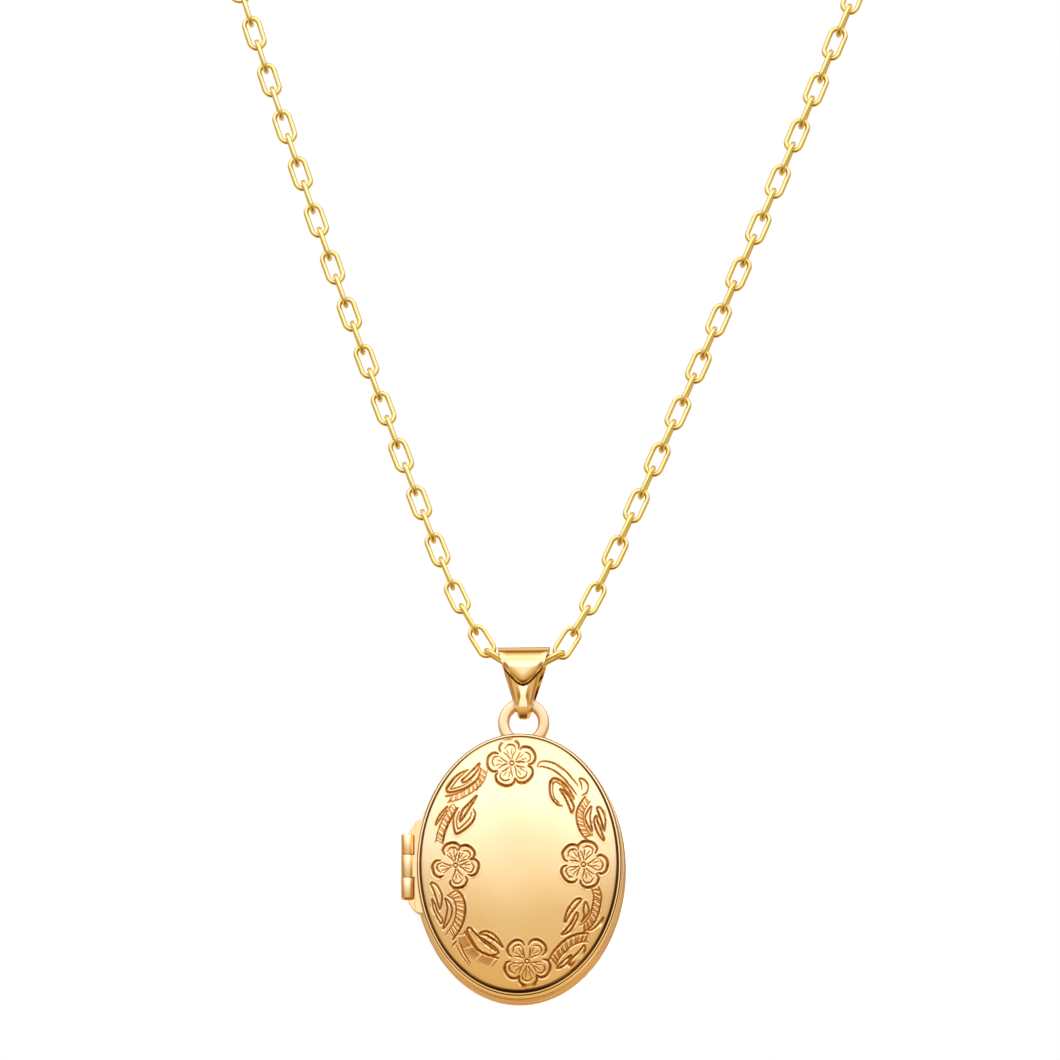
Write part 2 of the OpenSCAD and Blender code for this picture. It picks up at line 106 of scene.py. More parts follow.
# %% Colours and nodes
def colour(hex_code):
    channels = [int(hex_code[i:i + 2], 16) / 255 for i in (1, 3, 5)]
    return [c / 12.92 if c <= 0.04045 else ((c + 0.055) / 1.055) ** 2.4
            for c in channels] + [1.0]


def add_node(tree, kind, settings=None, **inputs):
    """Adds a node. An input is a value, or a socket to link from. i0, i1... are by number."""
    node = tree.nodes.new(kind)
    for key, value in (settings or {}).items():
        setattr(node, key, value)
    for key, value in inputs.items():
        numbered = key[0] == "i" and key[1:].isdigit()
        socket = node.inputs[int(key[1:]) if numbered else key.replace("_", " ")]
        if isinstance(value, bpy.types.NodeSocket):
            tree.links.new(value, socket)
        else:
            socket.default_value = value
    return node


def colour_steps(tree, factor, steps, interpolation="LINEAR"):
    """A colour ramp from (position, colour) pairs."""
    ramp = add_node(tree, "ShaderNodeValToRGB", i0=factor)
    ramp.color_ramp.interpolation = interpolation
    points = ramp.color_ramp.elements
    while len(points) < len(steps):
        points.new(0.5)
    for point, (position, value) in zip(points, steps):
        point.position = position
        point.color = value
    return ramp.outputs["Color"]


def new_material(name):
    material = bpy.data.materials.new(name)
    material.use_nodes = True
    tree = material.node_tree
    tree.nodes.clear()
    return material, tree


print("gold in linear light:", [round(c, 2) for c in colour("#F2CD8C")[:3]])


# %% [markdown]
# ## The golds
# Fourteen karat gold is gold with silver and copper, so it is paler and pinker than pure
# gold. It is a metal: all its colour is in its reflection. What differs from part to part is
# how the surface was made. The shells and the bail were buffed on a wheel, which leaves a
# mirror with hair-fine scratches. The ring was only brushed, so it looks soft. The side of
# the case was ground round and round, which leaves streaks along it.

# %% Polished gold
SCRATCH_MM = 0.12     # spacing of the buffing scratches, drawn coarse enough to show
CLOUD_MM = 5.0        # size of the faint cloudiness left by buffing by hand


def gold(name, tone, shade, roughness, rough_spread, grain_mm, bump_mm, stretch=(1, 1, 1)):
    """A gold finish. stretch draws the grain out, and long streaks also change the tint."""
    material, tree = new_material(name)
    place = add_node(tree, "ShaderNodeTexCoord").outputs["Object"]
    cloud = add_node(tree, "ShaderNodeTexNoise", Vector=place, Scale=1 / (CLOUD_MM * MM),
                     Detail=2.0)
    drawn = add_node(tree, "ShaderNodeMapping", Vector=place, Scale=stretch)
    grain = add_node(tree, "ShaderNodeTexNoise", Vector=drawn.outputs[0],
                     Scale=1 / (grain_mm * MM), Detail=3.0)
    patches = grain if min(stretch) < 1 else cloud
    tint = colour_steps(tree, patches.outputs[0], [(0.36, colour(shade)), (0.62, colour(tone))])
    rough = add_node(tree, "ShaderNodeMapRange", Value=grain.outputs[0],
                     i1=0.3, i2=0.7, i3=roughness - rough_spread, i4=roughness + rough_spread)
    bump = add_node(tree, "ShaderNodeBump", Height=grain.outputs[0], Strength=1.0,
                    Distance=bump_mm * MM)
    shader = add_node(tree, "ShaderNodeBsdfPrincipled", Base_Color=tint, Metallic=1.0,
                      Roughness=rough.outputs[0], Normal=bump.outputs[0])
    add_node(tree, "ShaderNodeOutputMaterial", Surface=shader.outputs[0])
    return material


polished_gold = gold("buffed_14k_gold", "#FBD592", "#F7CE88", 0.09, 0.04, SCRATCH_MM, 0.0006)
satin_gold = gold("brushed_14k_gold", "#FBDCA2", "#F5D194", 0.42, 0.08, 0.1, 0.004, (1, 1, 4))
inner_gold = gold("tumbled_14k_gold", "#F4CB88", "#ECC07A", 0.28, 0.06, 0.2, 0.002)
side_gold = gold("ground_14k_gold", "#F8C870", "#C47F28", 0.22, 0.1, 0.2, 0.006,
                 (0.06, 1.6, 0.06))
chain_gold = gold("drawn_wire_gold", "#FBE590", "#F6DC80", 0.32, 0.05, 0.15, 0.001)
# Painted shade: a dark gold for the walls of the cover's steps and the bail's crease, where shade
# falls.
painted_shade_gold = gold("gold_painted_shade_in_corners", "#6B3F10", "#4A2808", 0.4, 0.1, 0.2, 0.002)
print("golds:", [m.name for m in bpy.data.materials if "gold" in m.name])


# %% [markdown]
# ## The engraved face
# A graver cuts a bright V-shaped groove. Its walls mirror each other, so light bounces
# twice inside and comes out deep orange. The grooves are real shape in the mesh; the mesh
# also carries a number per point, "cut", that says how deep in a groove it is. The finish
# reads that number to paint the colour deeper there, a painted shade for the second bounce,
# dark brown at the bottom of the cut.

# %% Engraved gold
engraved_gold = gold("engraved_14k_gold", "#FBD592", "#F8CF8A", 0.15, 0.04, SCRATCH_MM, 0.0006)
tree = engraved_gold.node_tree
shader = tree.nodes["Principled BSDF"]
tint = shader.inputs["Base Color"].links[0].from_socket
cut = add_node(tree, "ShaderNodeAttribute", {"attribute_name": "cut"}).outputs["Fac"]
# Painted shade: the tint turns orange, then dark brown, deeper in each groove.
for start, end, amount, dark in ((0.03, 0.4, 0.88, "#BE7218"), (0.4, 0.95, 0.75, "#5C2804")):
    deep = add_node(tree, "ShaderNodeMapRange", Value=cut, i1=start, i2=end, i3=0.0, i4=amount)
    tint = add_node(tree, "ShaderNodeMix", {"data_type": "RGBA"}, i0=deep.outputs[0],
                    i6=tint, i7=colour(dark)).outputs[2]
tree.links.new(tint, shader.inputs["Base Color"])
print("engraved finish has", len(tree.nodes), "nodes")


# %% [markdown]
# ## The other materials
# The little windows are clear cellulose acetate. A real sheet bends light, but so thin a
# one hardly shifts what lies behind it, so it is made as clear with a faint gloss, which
# lets the light through to the plain matt paper. The coil in the clasp is hard-drawn steel.

# %% Acetate, paper and spring steel
SHINE_SHARE = 0.05      # what acetate mirrors when looked at squarely
HAZE_MM, FIBRE_MM, DIE_LINE_MM = 1.5, 0.12, 0.05

clear_acetate, tree = new_material("clear_acetate_sheet")
place = add_node(tree, "ShaderNodeTexCoord").outputs["Object"]
haze = add_node(tree, "ShaderNodeTexNoise", Vector=place, Scale=1 / (HAZE_MM * MM), Detail=3.0)
rough = add_node(tree, "ShaderNodeMapRange", Value=haze.outputs[0], i3=0.1, i4=0.2)
through = add_node(tree, "ShaderNodeBsdfTransparent", Color=(0.97, 0.975, 0.96, 1))
shine = add_node(tree, "ShaderNodeBsdfGlossy", Color=(1, 1, 1, 1), Roughness=rough.outputs[0])
sheet = add_node(tree, "ShaderNodeMixShader", i0=SHINE_SHARE, i1=through.outputs[0],
                 i2=shine.outputs[0])
add_node(tree, "ShaderNodeOutputMaterial", Surface=sheet.outputs[0])

photo_paper, tree = new_material("plain_cotton_paper")
place = add_node(tree, "ShaderNodeTexCoord").outputs["Object"]
fibre = add_node(tree, "ShaderNodeTexNoise", Vector=place, Scale=1 / (FIBRE_MM * MM),
                 Detail=5.0, Distortion=0.6)
tint = colour_steps(tree, fibre.outputs[0],
                    [(0.35, colour("#E4DCC8")), (0.65, colour("#F3EDDF"))])
bump = add_node(tree, "ShaderNodeBump", Height=fibre.outputs[0], Distance=0.01 * MM)
shader = add_node(tree, "ShaderNodeBsdfPrincipled", Base_Color=tint, Roughness=0.85,
                  Normal=bump.outputs[0])
add_node(tree, "ShaderNodeOutputMaterial", Surface=shader.outputs[0])

spring_steel, tree = new_material("drawn_spring_steel")
place = add_node(tree, "ShaderNodeTexCoord").outputs["Object"]
die_lines = add_node(tree, "ShaderNodeTexNoise", Vector=place, Scale=1 / (DIE_LINE_MM * MM))
tint = colour_steps(tree, die_lines.outputs[0],
                    [(0.3, colour("#9A9CA0")), (0.7, colour("#C2C4C8"))])
shader = add_node(tree, "ShaderNodeBsdfPrincipled", Base_Color=tint, Metallic=1.0,
                  Roughness=0.3)
add_node(tree, "ShaderNodeOutputMaterial", Surface=shader.outputs[0])
print("materials:", len(bpy.data.materials))


# %% [markdown]
# ## Finishing a piece
# Every piece ends the same way: doubles merged, faces turned outwards, millimetres made
# metres, smooth shading, and a link to the CAD body that it moves with. Weighted normals
# keep the broad faces flat in the mirror and leave the turning to the small bevels.

# %% Piece helpers
CREASE = math.radians(50)
MERGE = 0.0005          # points closer than this are one


def new_object(bm, name, materials):
    """An object in metres from a bmesh in millimetres."""
    bmesh.ops.scale(bm, vec=(MM, MM, MM), verts=bm.verts[:])
    mesh = bpy.data.meshes.new(name)
    bm.to_mesh(mesh)
    bm.free()
    for material in materials:
        mesh.materials.append(material)
    made = bpy.data.objects.new(name, mesh)
    scene.collection.objects.link(made)
    return made


def add_piece(bm, name, body, materials, nodes, pick=None):
    """Makes the bmesh, in millimetres, a finished piece that stands for the CAD nodes."""
    bmesh.ops.remove_doubles(bm, verts=bm.verts[:], dist=MERGE)
    bmesh.ops.recalc_face_normals(bm, faces=bm.faces[:])
    for edge in bm.edges:
        edge.smooth = edge.calc_face_angle(0) < CREASE
    if pick:
        bm.normal_update()
        for face in bm.faces:
            face.material_index = pick(face.calc_center_median(), face.normal)
    piece = new_object(bm, name, materials)
    polygons = piece.data.polygons
    polygons.foreach_set("use_smooth", [True] * len(polygons))
    weighted = piece.modifiers.new("weighted_normals", "WEIGHTED_NORMAL")
    weighted.keep_sharp = True
    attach(piece, body)
    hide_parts(*nodes)
    triangles = sum(len(p.vertices) - 2 for p in polygons)
    print(f"{name}: {triangles} triangles, rides on {body}")
    return piece


def box_mm(node):
    low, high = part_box(node)
    return low / MM, high / MM


# %% [markdown]
# ## Turning an outline into a shell
# Every round part here is an outline turned about an axis, so one helper does it: it draws
# the outline, rounds its corners with a bevel, and spins it. An oval part is spun round
# first and then stretched upwards, so that its wall keeps one thickness all the way round.

# %% Lathe and oval helpers
def lathe(outline, steps, closed=False):
    """Spins (radius, height, rounding) points about Z. rounding 0 leaves a corner sharp."""
    bm = bmesh.new()
    corners = [bm.verts.new((r, 0, h)) for r, h, _ in outline]
    ends = corners[1:] + ([corners[0]] if closed else [])
    for a, b in zip(corners, ends):
        bm.edges.new((a, b))
    for size in sorted({c[2] for c in outline if c[2] > 0}):
        group = [v for v, c in zip(corners, outline) if c[2] == size]
        bmesh.ops.bevel(bm, geom=group, offset=size, segments=4, profile=0.5,
                        affect="VERTICES", material=-1)
    bmesh.ops.spin(bm, geom=bm.verts[:] + bm.edges[:], cent=(0, 0, 0), axis=(0, 0, 1),
                   angle=math.tau, steps=steps, use_merge=True)
    return bm


def turn(bm, degrees, axis):
    bmesh.ops.rotate(bm, verts=bm.verts[:], cent=(0, 0, 0),
                     matrix=Matrix.Rotation(math.radians(degrees), 3, axis))


def move(bm, offset):
    bmesh.ops.translate(bm, verts=bm.verts[:], vec=offset)


rear_low, rear_high = box_mm("rear_shell")
HALF_W = (rear_high.x - rear_low.x) / 2
HALF_H = (rear_high.z - rear_low.z) / 2
CASE = Vector(((rear_low.x + rear_high.x) / 2, rear_low.y, (rear_low.z + rear_high.z) / 2))


def make_oval(bm, inner_radius, way):
    """Stands a spun shape up as an oval in the case. Outside inner_radius it grows evenly,
    inside it the shape is stretched in proportion. way is -1 for the front half."""
    turn(bm, -90 * way, "X")
    extra = HALF_H - HALF_W
    for v in bm.verts:
        r = math.hypot(v.co.x, v.co.z)
        if r > 1e-6:
            tall = extra / r if r > inner_radius else extra / inner_radius
            v.co.z *= 1 + tall
    move(bm, CASE)
    return bm


print("case:", round(2 * HALF_W, 2), "x", round(2 * HALF_H, 2), "mm, centre", CASE)


# %% [markdown]
# ## What the engraver cut
# The cover carries a wreath: four five-petalled flowers, joined by feathered stems and
# open leaves. An engraver draws each as a few strokes, so the script does too. A stroke is a
# short list of points in millimetres from the middle of the face, and a smooth curve runs
# through them. Flowers and feathered ribbons are made by functions, from a centre or a
# centre line.

# %% Strokes
WIDEN = 1.2             # a stroke's full width over its nominal one
CURVE_STEPS = 6         # steps of a smooth curve between two of its points
strokes = []            # each is (points, half width at each point)


def smooth(points, closed=False):
    """A curve through the points that keeps their order."""
    p = [np.array(q, float) for q in points]
    if closed:
        p = [p[-1]] + p + [p[0], p[1]]
    else:
        p = [2 * p[0] - p[1]] + p + [2 * p[-1] - p[-2]]
    curve = []
    for a, b, c, d in zip(p, p[1:], p[2:], p[3:]):
        for t in np.arange(CURVE_STEPS) / CURVE_STEPS:
            curve.append(0.5 * (2 * b + (c - a) * t + (2 * a - 5 * b + 4 * c - d) * t * t
                                + (3 * b - a - 3 * c + d) * t ** 3))
    return np.array(curve + [p[-2]])


def cut_line(points, half_width=0.09, closed=False, taper=0.45):
    """One stroke. Its ends rise out of the metal, so they are narrower."""
    curve = smooth(points, closed)
    t = np.linspace(0, 1, len(curve))
    swell = np.ones(len(curve)) if closed else taper + (1 - taper) * np.sin(np.pi * t) ** 0.5
    strokes.append((curve, WIDEN * half_width * swell))


def leaf(points, half_width=0.085):
    """A closed leaf: one stroke round it."""
    cut_line(points, half_width, closed=True)


def sideways(curve):
    along = np.gradient(curve, axis=0)
    along /= np.linalg.norm(along, axis=1)[:, None]
    return np.stack([-along[:, 1], along[:, 0]], axis=1)


def ribbon(points, half=0.27, ticks=16, slant=0.15, edges=(0.075, 0.075)):
    """A feathered stem: two edges and a row of short cuts between them."""
    curve = smooth(points)
    side = sideways(curve)
    for way, width in zip((1, -1), edges):
        if width:
            cut_line(list((curve + way * half * side)[::3]), width, taper=0.7)
    along = np.gradient(curve, axis=0)
    for i in (np.linspace(0.04, 0.96, ticks) * (len(curve) - 1)).astype(int):
        lean = along[i]
        lean = slant * lean / np.linalg.norm(lean)
        a, b = curve[i] + half * side[i] + lean, curve[i] - half * side[i] - lean
        strokes.append((np.array([a, (a + b) / 2, b]), np.array([0.055, 0.05, 0.04])))


def flower(x, z, petals, size=1.8, spread=33):
    """Five cupped petals. Each has a bold outer rim, a fine inner line and two sides."""
    def at(angle, radius):
        turned = math.radians(angle)
        return x + radius * math.cos(turned), z + radius * math.sin(turned)
    rim = [(-1.0, 0.68), (-0.85, 0.86), (-0.45, 0.98), (0, 1.0), (0.45, 0.97), (0.85, 0.84),
           (1.0, 0.66)]
    inner = [(-0.75, 0.6), (-0.5, 0.76), (0, 0.8), (0.5, 0.7)]
    for axis in petals:
        cut_line([at(axis + spread * s, size * r) for s, r in rim], 0.11, taper=0.5)
        cut_line([at(axis + spread * s, size * r) for s, r in inner], 0.065)
        for way in (-0.3, 0.35):
            cut_line([at(axis + way * spread * 0.6, size * 0.36),
                      at(axis + way * spread, size * 0.66)], 0.045)
        for way in (-1, 1):
            cut_line([at(axis + way * spread * 0.8, size * 0.6),
                      at(axis + way * spread * 0.5, size * 0.32),
                      at(axis + way * spread * 0.3, size * 0.16)], 0.06)
    leaf([at(a, size * 0.09) for a in range(0, 360, 60)], 0.06)


flower(-0.52, 7.58, (28, 100, 176, 248, 316), 1.85)
flower(-4.73, -0.25, (49, 105, 190, 281, 352), 1.75, 30)
flower(4.85, -0.25, (2, 76, 138, 216, 291), 1.8, 32)
flower(0.63, -7.56, (53, 132, 210, 273, 336), 1.8, 31)
print("strokes in the flowers:", len(strokes))


# %% Leaves and stems, from the top left round to the bottom left
# upper left
cut_line([(-3.75, 7.15), (-4.6, 6.75), (-5.2, 6.05), (-5.45, 5.6), (-5.1, 5.4), (-4.1, 5.65),
          (-3.35, 6.15)], 0.1)
cut_line([(-3.9, 7.0), (-4.5, 6.5), (-5.0, 5.85), (-5.1, 5.65), (-4.3, 5.85), (-3.5, 6.3)], 0.06)
leaf([(-2.95, 7.6), (-3.35, 7.2), (-3.95, 6.6), (-4.3, 6.25), (-4.05, 6.15), (-3.55, 6.5),
      (-3.1, 7.05)], 0.08)
ribbon([(-2.6, 7.15), (-2.8, 6.4), (-3.2, 5.9), (-3.8, 5.45), (-4.6, 5.05), (-5.45, 4.85)],
       0.26, 20, edges=(0.05, 0.085))
leaf([(-3.15, 5.05), (-3.7, 4.5), (-4.2, 3.95), (-4.4, 3.1), (-4.0, 3.6), (-3.6, 4.25)], 0.09)
cut_line([(-4.7, 4.2), (-4.9, 3.25), (-4.85, 2.5), (-4.65, 2.15), (-4.0, 2.5), (-3.45, 3.05),
          (-3.25, 3.6), (-3.4, 4.05)], 0.1)
cut_line([(-4.45, 3.9), (-4.65, 3.2), (-4.55, 2.55), (-4.1, 2.85), (-3.65, 3.35),
          (-3.5, 3.85)], 0.065)
leaf([(-5.35, 4.3), (-5.95, 3.65), (-6.25, 2.9), (-5.8, 3.5)], 0.07)
ribbon([(-4.8, 4.3), (-5.2, 3.65), (-5.55, 3.0), (-5.85, 2.15), (-5.95, 1.5)], 0.27, 15,
       edges=(0.1, 0.05))

# upper right
cut_line([(1.35, 7.3), (1.6, 7.65), (2.15, 7.7), (2.85, 7.45), (3.6, 6.85), (4.15, 6.2),
          (4.5, 5.75)], 0.07)
cut_line([(1.35, 7.3), (1.95, 7.25), (2.7, 6.95), (3.4, 6.35), (3.95, 5.65), (4.4, 5.05)], 0.07)
cut_line([(4.75, 5.5), (4.7, 5.9), (4.55, 6.35), (4.9, 6.3), (5.2, 5.85), (5.1, 5.3),
          (4.7, 5.05)], 0.08)
cut_line([(3.3, 4.2), (2.85, 4.35), (2.4, 5.0), (2.35, 5.9), (2.6, 6.35), (3.1, 6.2),
          (3.7, 5.6), (4.2, 4.75)], 0.1)
cut_line([(3.1, 4.4), (2.65, 4.9), (2.55, 5.65), (2.7, 6.1), (3.2, 5.85), (3.7, 5.25),
          (4.1, 4.7)], 0.06)
leaf([(3.1, 5.5), (3.45, 4.9), (3.8, 4.1), (3.95, 3.7), (4.15, 4.1), (3.85, 4.8), (3.5, 5.3)],
     0.085)
ribbon([(5.2, 4.85), (4.8, 4.2), (4.6, 3.6), (4.65, 2.9), (4.95, 2.2), (5.4, 1.75)], 0.26, 18,
       edges=(0.05, 0.085))
leaf([(5.45, 4.2), (5.1, 3.7), (5.0, 3.2), (5.25, 2.6), (5.5, 2.3), (5.35, 3.3)], 0.08)
leaf([(5.8, 3.5), (5.65, 3.05), (5.85, 2.3), (6.2, 1.75), (6.4, 1.65), (6.15, 2.4),
      (5.9, 3.05)], 0.085)
leaf([(5.85, 4.1), (6.1, 4.15), (6.4, 3.6), (6.5, 2.95), (6.4, 2.35), (6.2, 3.05),
      (5.95, 3.8)], 0.08)

# lower right
ribbon([(5.7, -2.0), (5.9, -2.65), (5.8, -3.45), (5.6, -4.15), (5.2, -4.75), (4.7, -5.1)],
       0.28, 20)
cut_line([(6.3, -4.15), (6.05, -4.6), (5.55, -5.1), (5.15, -5.25)], 0.09)
leaf([(4.6, -2.85), (4.2, -3.0), (3.65, -3.75), (3.45, -4.65), (3.95, -3.9), (4.35, -3.4),
      (4.65, -3.0)], 0.09)
leaf([(5.0, -3.1), (4.85, -3.7), (4.9, -4.2), (4.7, -4.6), (5.2, -3.95), (5.2, -3.55)], 0.085)
leaf([(4.35, -3.9), (4.05, -4.45), (3.65, -5.05), (3.2, -5.55), (3.7, -5.4), (4.1, -4.9),
      (4.4, -4.3)], 0.085)
ribbon([(5.2, -5.75), (4.6, -5.8), (3.85, -6.1), (3.2, -6.65), (2.75, -7.2), (2.5, -7.7)],
       0.32, 20, edges=(0.06, 0.1))
leaf([(4.85, -6.35), (4.95, -6.55), (4.7, -7.1), (4.2, -7.55), (3.7, -7.8), (4.1, -7.2),
      (4.5, -6.8)], 0.08)
leaf([(3.9, -7.1), (3.35, -7.5), (2.85, -8.05), (3.35, -7.9), (3.8, -7.4)], 0.085)

# lower left
ribbon([(-5.15, -2.25), (-4.6, -2.65), (-4.35, -3.4), (-4.4, -4.2), (-4.65, -4.9),
        (-5.2, -5.65)], 0.34, 18, edges=(0.1, 0.06))
leaf([(-6.6, -1.55), (-6.2, -1.65), (-5.8, -2.35), (-5.75, -2.85), (-5.9, -3.55),
      (-6.1, -3.0), (-6.35, -2.2)], 0.08)
leaf([(-6.5, -2.75), (-6.4, -3.45), (-6.2, -3.95), (-5.85, -4.6), (-5.7, -4.35),
      (-6.1, -3.7), (-6.25, -3.2)], 0.075)
leaf([(-5.5, -2.75), (-5.1, -3.2), (-5.0, -3.8), (-5.2, -4.45), (-5.65, -5.0), (-5.45, -4.2),
      (-5.35, -3.45)], 0.08)
ribbon([(-4.35, -5.45), (-3.85, -6.25), (-3.35, -6.9), (-2.5, -7.35), (-1.6, -7.65)], 0.36,
       20, edges=(0.1, 0))
leaf([(-3.65, -5.0), (-3.0, -5.65), (-2.1, -6.25), (-1.5, -6.9), (-2.2, -7.1), (-3.0, -6.65),
      (-3.45, -6.0), (-3.85, -5.25)], 0.085)
cut_line([(-3.0, -5.75), (-2.3, -6.3), (-1.6, -6.85)], 0.1)
leaf([(-2.9, -5.45), (-2.4, -5.3), (-1.75, -5.65), (-1.35, -6.2), (-1.2, -6.5), (-1.75, -6.0),
      (-2.4, -5.6)], 0.09)
cut_line([(-4.65, -5.95), (-5.0, -6.35)], 0.07)
cut_line([(-4.45, -6.0), (-4.1, -6.85), (-3.6, -7.7)], 0.07)
cut_line([(-4.7, -6.2), (-4.25, -7.05), (-3.7, -7.75)], 0.05)
print("strokes in all:", len(strokes))


# %% [markdown]
# ## From strokes to depth
# For each point of the face the script finds how far it is from every stroke nearby, and
# lowers it as a V-shaped graver would. The metal that the graver pushes aside stands up in a
# low burr along both edges, which catches the light.

# %% Depth of the engraving
GROOVE_SLOPE, BURR = 0.8, 0.018


def engrave(x, z):
    """Depth change, and how far into a cut each point is, from 0 to 1."""
    low, burr, inside = np.zeros(len(x)), np.zeros(len(x)), np.zeros(len(x))
    for curve, half in strokes:
        reach = half.max() * 2
        near = np.flatnonzero((x > curve[:, 0].min() - reach) & (x < curve[:, 0].max() + reach)
                              & (z > curve[:, 1].min() - reach) & (z < curve[:, 1].max() + reach))
        if not len(near):
            continue
        p = np.stack([x[near], z[near]], axis=1)
        best, width = np.full(len(near), 9.0), np.full(len(near), 1e-3)
        for a, b, wa, wb in zip(curve, curve[1:], half, half[1:]):
            d = b - a
            t = np.clip(((p - a) @ d) / max(d @ d, 1e-12), 0, 1)
            gap = np.linalg.norm(p - a - t[:, None] * d, axis=1)
            w = wa + (wb - wa) * t
            closer = gap / w < best / width
            best, width = np.where(closer, gap, best), np.where(closer, w, width)
        share = best / width
        inside[near] = np.maximum(inside[near], np.clip(1 - share, 0, 1))
        low[near] = np.minimum(low[near], -GROOVE_SLOPE * width * np.clip(1 - share, 0, 1))
        burr[near] = np.maximum(burr[near], BURR * np.exp(-((share - 1.25) / 0.25) ** 2))
    return np.where(low < -1e-4, low, burr), inside


print("deepest cut:", round(GROOVE_SLOPE * max(half.max() for _, half in strokes), 3), "mm")


# %% [markdown]
# ## The front cover
# The cover is stamped from one sheet: a domed face, a step down to a narrow ledge, and a
# side that closes against the rear shell. Its outline is spun, with many fine rings where
# the engraving lies. Then each point of the face is raised to the dome and cut.

# %% Front cover
WALL, SIDE_IN, LEDGE_IN, FACE_IN, LIP_IN = 0.33, 0.17, 0.29, 0.66, 0.53
LEDGE_DEPTH, FACE_DEPTH, GAP, STEP_DEPTH = 0.8, 1.13, 0.04, 0.73
CUT_RINGS, COVER_STEPS = 84, 720
INNER_RING, OUTER_RING, STEP_SLOPE = 0.35, 0.965, 0.2

FACE_RISE = CASE.y - box_mm("front_cover")[0].y - FACE_DEPTH
face_r, roof_r = HALF_W - FACE_IN, HALF_W - FACE_IN - WALL


def dome(rise, share):
    """Height of a dome at a share of its radius. The power makes it flatter in the middle."""
    return rise * (1 - share ** 2.4)


outline = [(0, FACE_DEPTH, 0)]
outline += [(face_r * INNER_RING * k / 6, FACE_DEPTH, 0) for k in range(1, 6)]
outline += [(face_r * (INNER_RING + (OUTER_RING - INNER_RING) * k / CUT_RINGS), FACE_DEPTH, 0)
            for k in range(CUT_RINGS + 1)]
outline += [(face_r, FACE_DEPTH, 0.07), (face_r + STEP_SLOPE, LEDGE_DEPTH, 0),
            (HALF_W - LEDGE_IN - 0.07, LEDGE_DEPTH, 0.04), (HALF_W - LEDGE_IN, STEP_DEPTH, 0.03),
            (HALF_W - SIDE_IN, GAP, 0.035), (HALF_W - LIP_IN, GAP, 0.03),
            (HALF_W - LIP_IN, 0.55, 0), (roof_r, FACE_DEPTH - WALL, 0)]
outline += [(roof_r * s, FACE_DEPTH - WALL + dome(FACE_RISE, s), 0) for s in (0.9, 0.7, 0.4)]
outline += [(0, FACE_DEPTH - WALL + FACE_RISE, 0)]

bm = make_oval(lathe(outline, COVER_STEPS), face_r, -1)
bmesh.ops.remove_doubles(bm, verts=bm.verts[:], dist=MERGE)
layer = bm.verts.layers.float.new("cut")
bm.verts.ensure_lookup_table()
co = np.array([v.co for v in bm.verts]) - np.array(CASE)
share = np.hypot(co[:, 0] / face_r, co[:, 2] / (face_r + HALF_H - HALF_W))
on_face = np.flatnonzero((abs(-co[:, 1] - FACE_DEPTH + 0.05) < 0.051) & (share < 1.001))
change, inside = engrave(co[on_face, 0], co[on_face, 2])
rise = dome(FACE_RISE, np.clip(share[on_face], 0, 1)) + change
for index, up_by, depth in zip(on_face, rise, inside):
    bm.verts[index].co.y -= up_by
    bm.verts[index][layer] = depth


def pick_cover(centre, normal):
    """0 polished, 1 engraved, 2 inside, 3 a corner wall painted dark as shade. The inside faces
    back or inwards.
    """
    depth = CASE.y - centre.y
    inwards = normal.x * (centre.x - CASE.x) + normal.z * (centre.z - CASE.z) < 0
    past_face = math.hypot((centre.x - CASE.x) / face_r,
                           (centre.z - CASE.z) / (face_r + HALF_H - HALF_W)) > 1.003
    # Painted shade: the walls of the two steps round the face get the dark gold.
    if past_face and not inwards and (LEDGE_DEPTH + 0.01 < depth < FACE_DEPTH - 0.02
                                      or STEP_DEPTH + 0.01 < depth < LEDGE_DEPTH - 0.01):
        return 3
    if depth > FACE_DEPTH - 0.1 and normal.y < -0.3:
        return 1
    return 2 if normal.y > 0.3 or (inwards and depth < LEDGE_DEPTH - 0.05) else 0


add_piece(bm, "engraved_cover", "cover",
          [polished_gold, engraved_gold, inner_gold, painted_shade_gold], ["front_cover"], pick_cover)


# %% [markdown]
# ## The rear shell
# The rear half is deeper, and its side was ground while it turned on a wheel. Only its broad
# curves matter, so fewer steps are enough. The outline leans out towards the back and turns
# in a tight curve to a low dome.

# %% Rear shell
SHELL_STEPS = 288
REAR_EDGE_IN, REAR_EDGE, COLLAR_IN, COLLAR_IN_2, FLOOR_DEPTH = 0.45, 2.25, 0.58, 0.93, 1.92
REAR_RISE = rear_high.y - CASE.y - REAR_EDGE
rear_r, floor_r = HALF_W - REAR_EDGE_IN, HALF_W - COLLAR_IN_2
outline = [(0, REAR_EDGE + REAR_RISE, 0)]
outline += [(rear_r * s, REAR_EDGE + dome(REAR_RISE, s), 0) for s in np.arange(1, 25) / 25]
outline += [(rear_r, REAR_EDGE, 0.12), (HALF_W - 0.13, 2.1, 0.1), (HALF_W - 0.03, 1.9, 0.09),
            (HALF_W, 1.6, 0.06), (HALF_W - 0.12, 0, 0.035), (HALF_W - COLLAR_IN, 0, 0.02),
            (HALF_W - COLLAR_IN, 1.72, 0.1), (floor_r, FLOOR_DEPTH, 0)]
outline += [(floor_r * s, FLOOR_DEPTH + dome(REAR_RISE, s), 0) for s in (0.9, 0.7, 0.4)]
outline += [(0, FLOOR_DEPTH + REAR_RISE, 0)]


def pick_rear(centre, normal):
    """0 polished, 1 the ground side, 2 inside."""
    depth = centre.y - CASE.y
    outwards = normal.x * (centre.x - CASE.x) + normal.z * (centre.z - CASE.z)
    if outwards < 0 or normal.y < -0.5:
        return 2
    return 1 if depth < 1.95 else 0


add_piece(make_oval(lathe(outline, SHELL_STEPS), rear_r, 1), "rear_case", "case",
          [polished_gold, side_gold, inner_gold], ["rear_shell"], pick_rear)


# %% [markdown]
# ## The closing collar and the picture frames
# Inside, an oval wall stands up from the rear shell and the cover closes over it. Two sprung
# rims hold the pictures. All three are one outline, a small rounded rectangle, spun and
# stretched to the same oval.

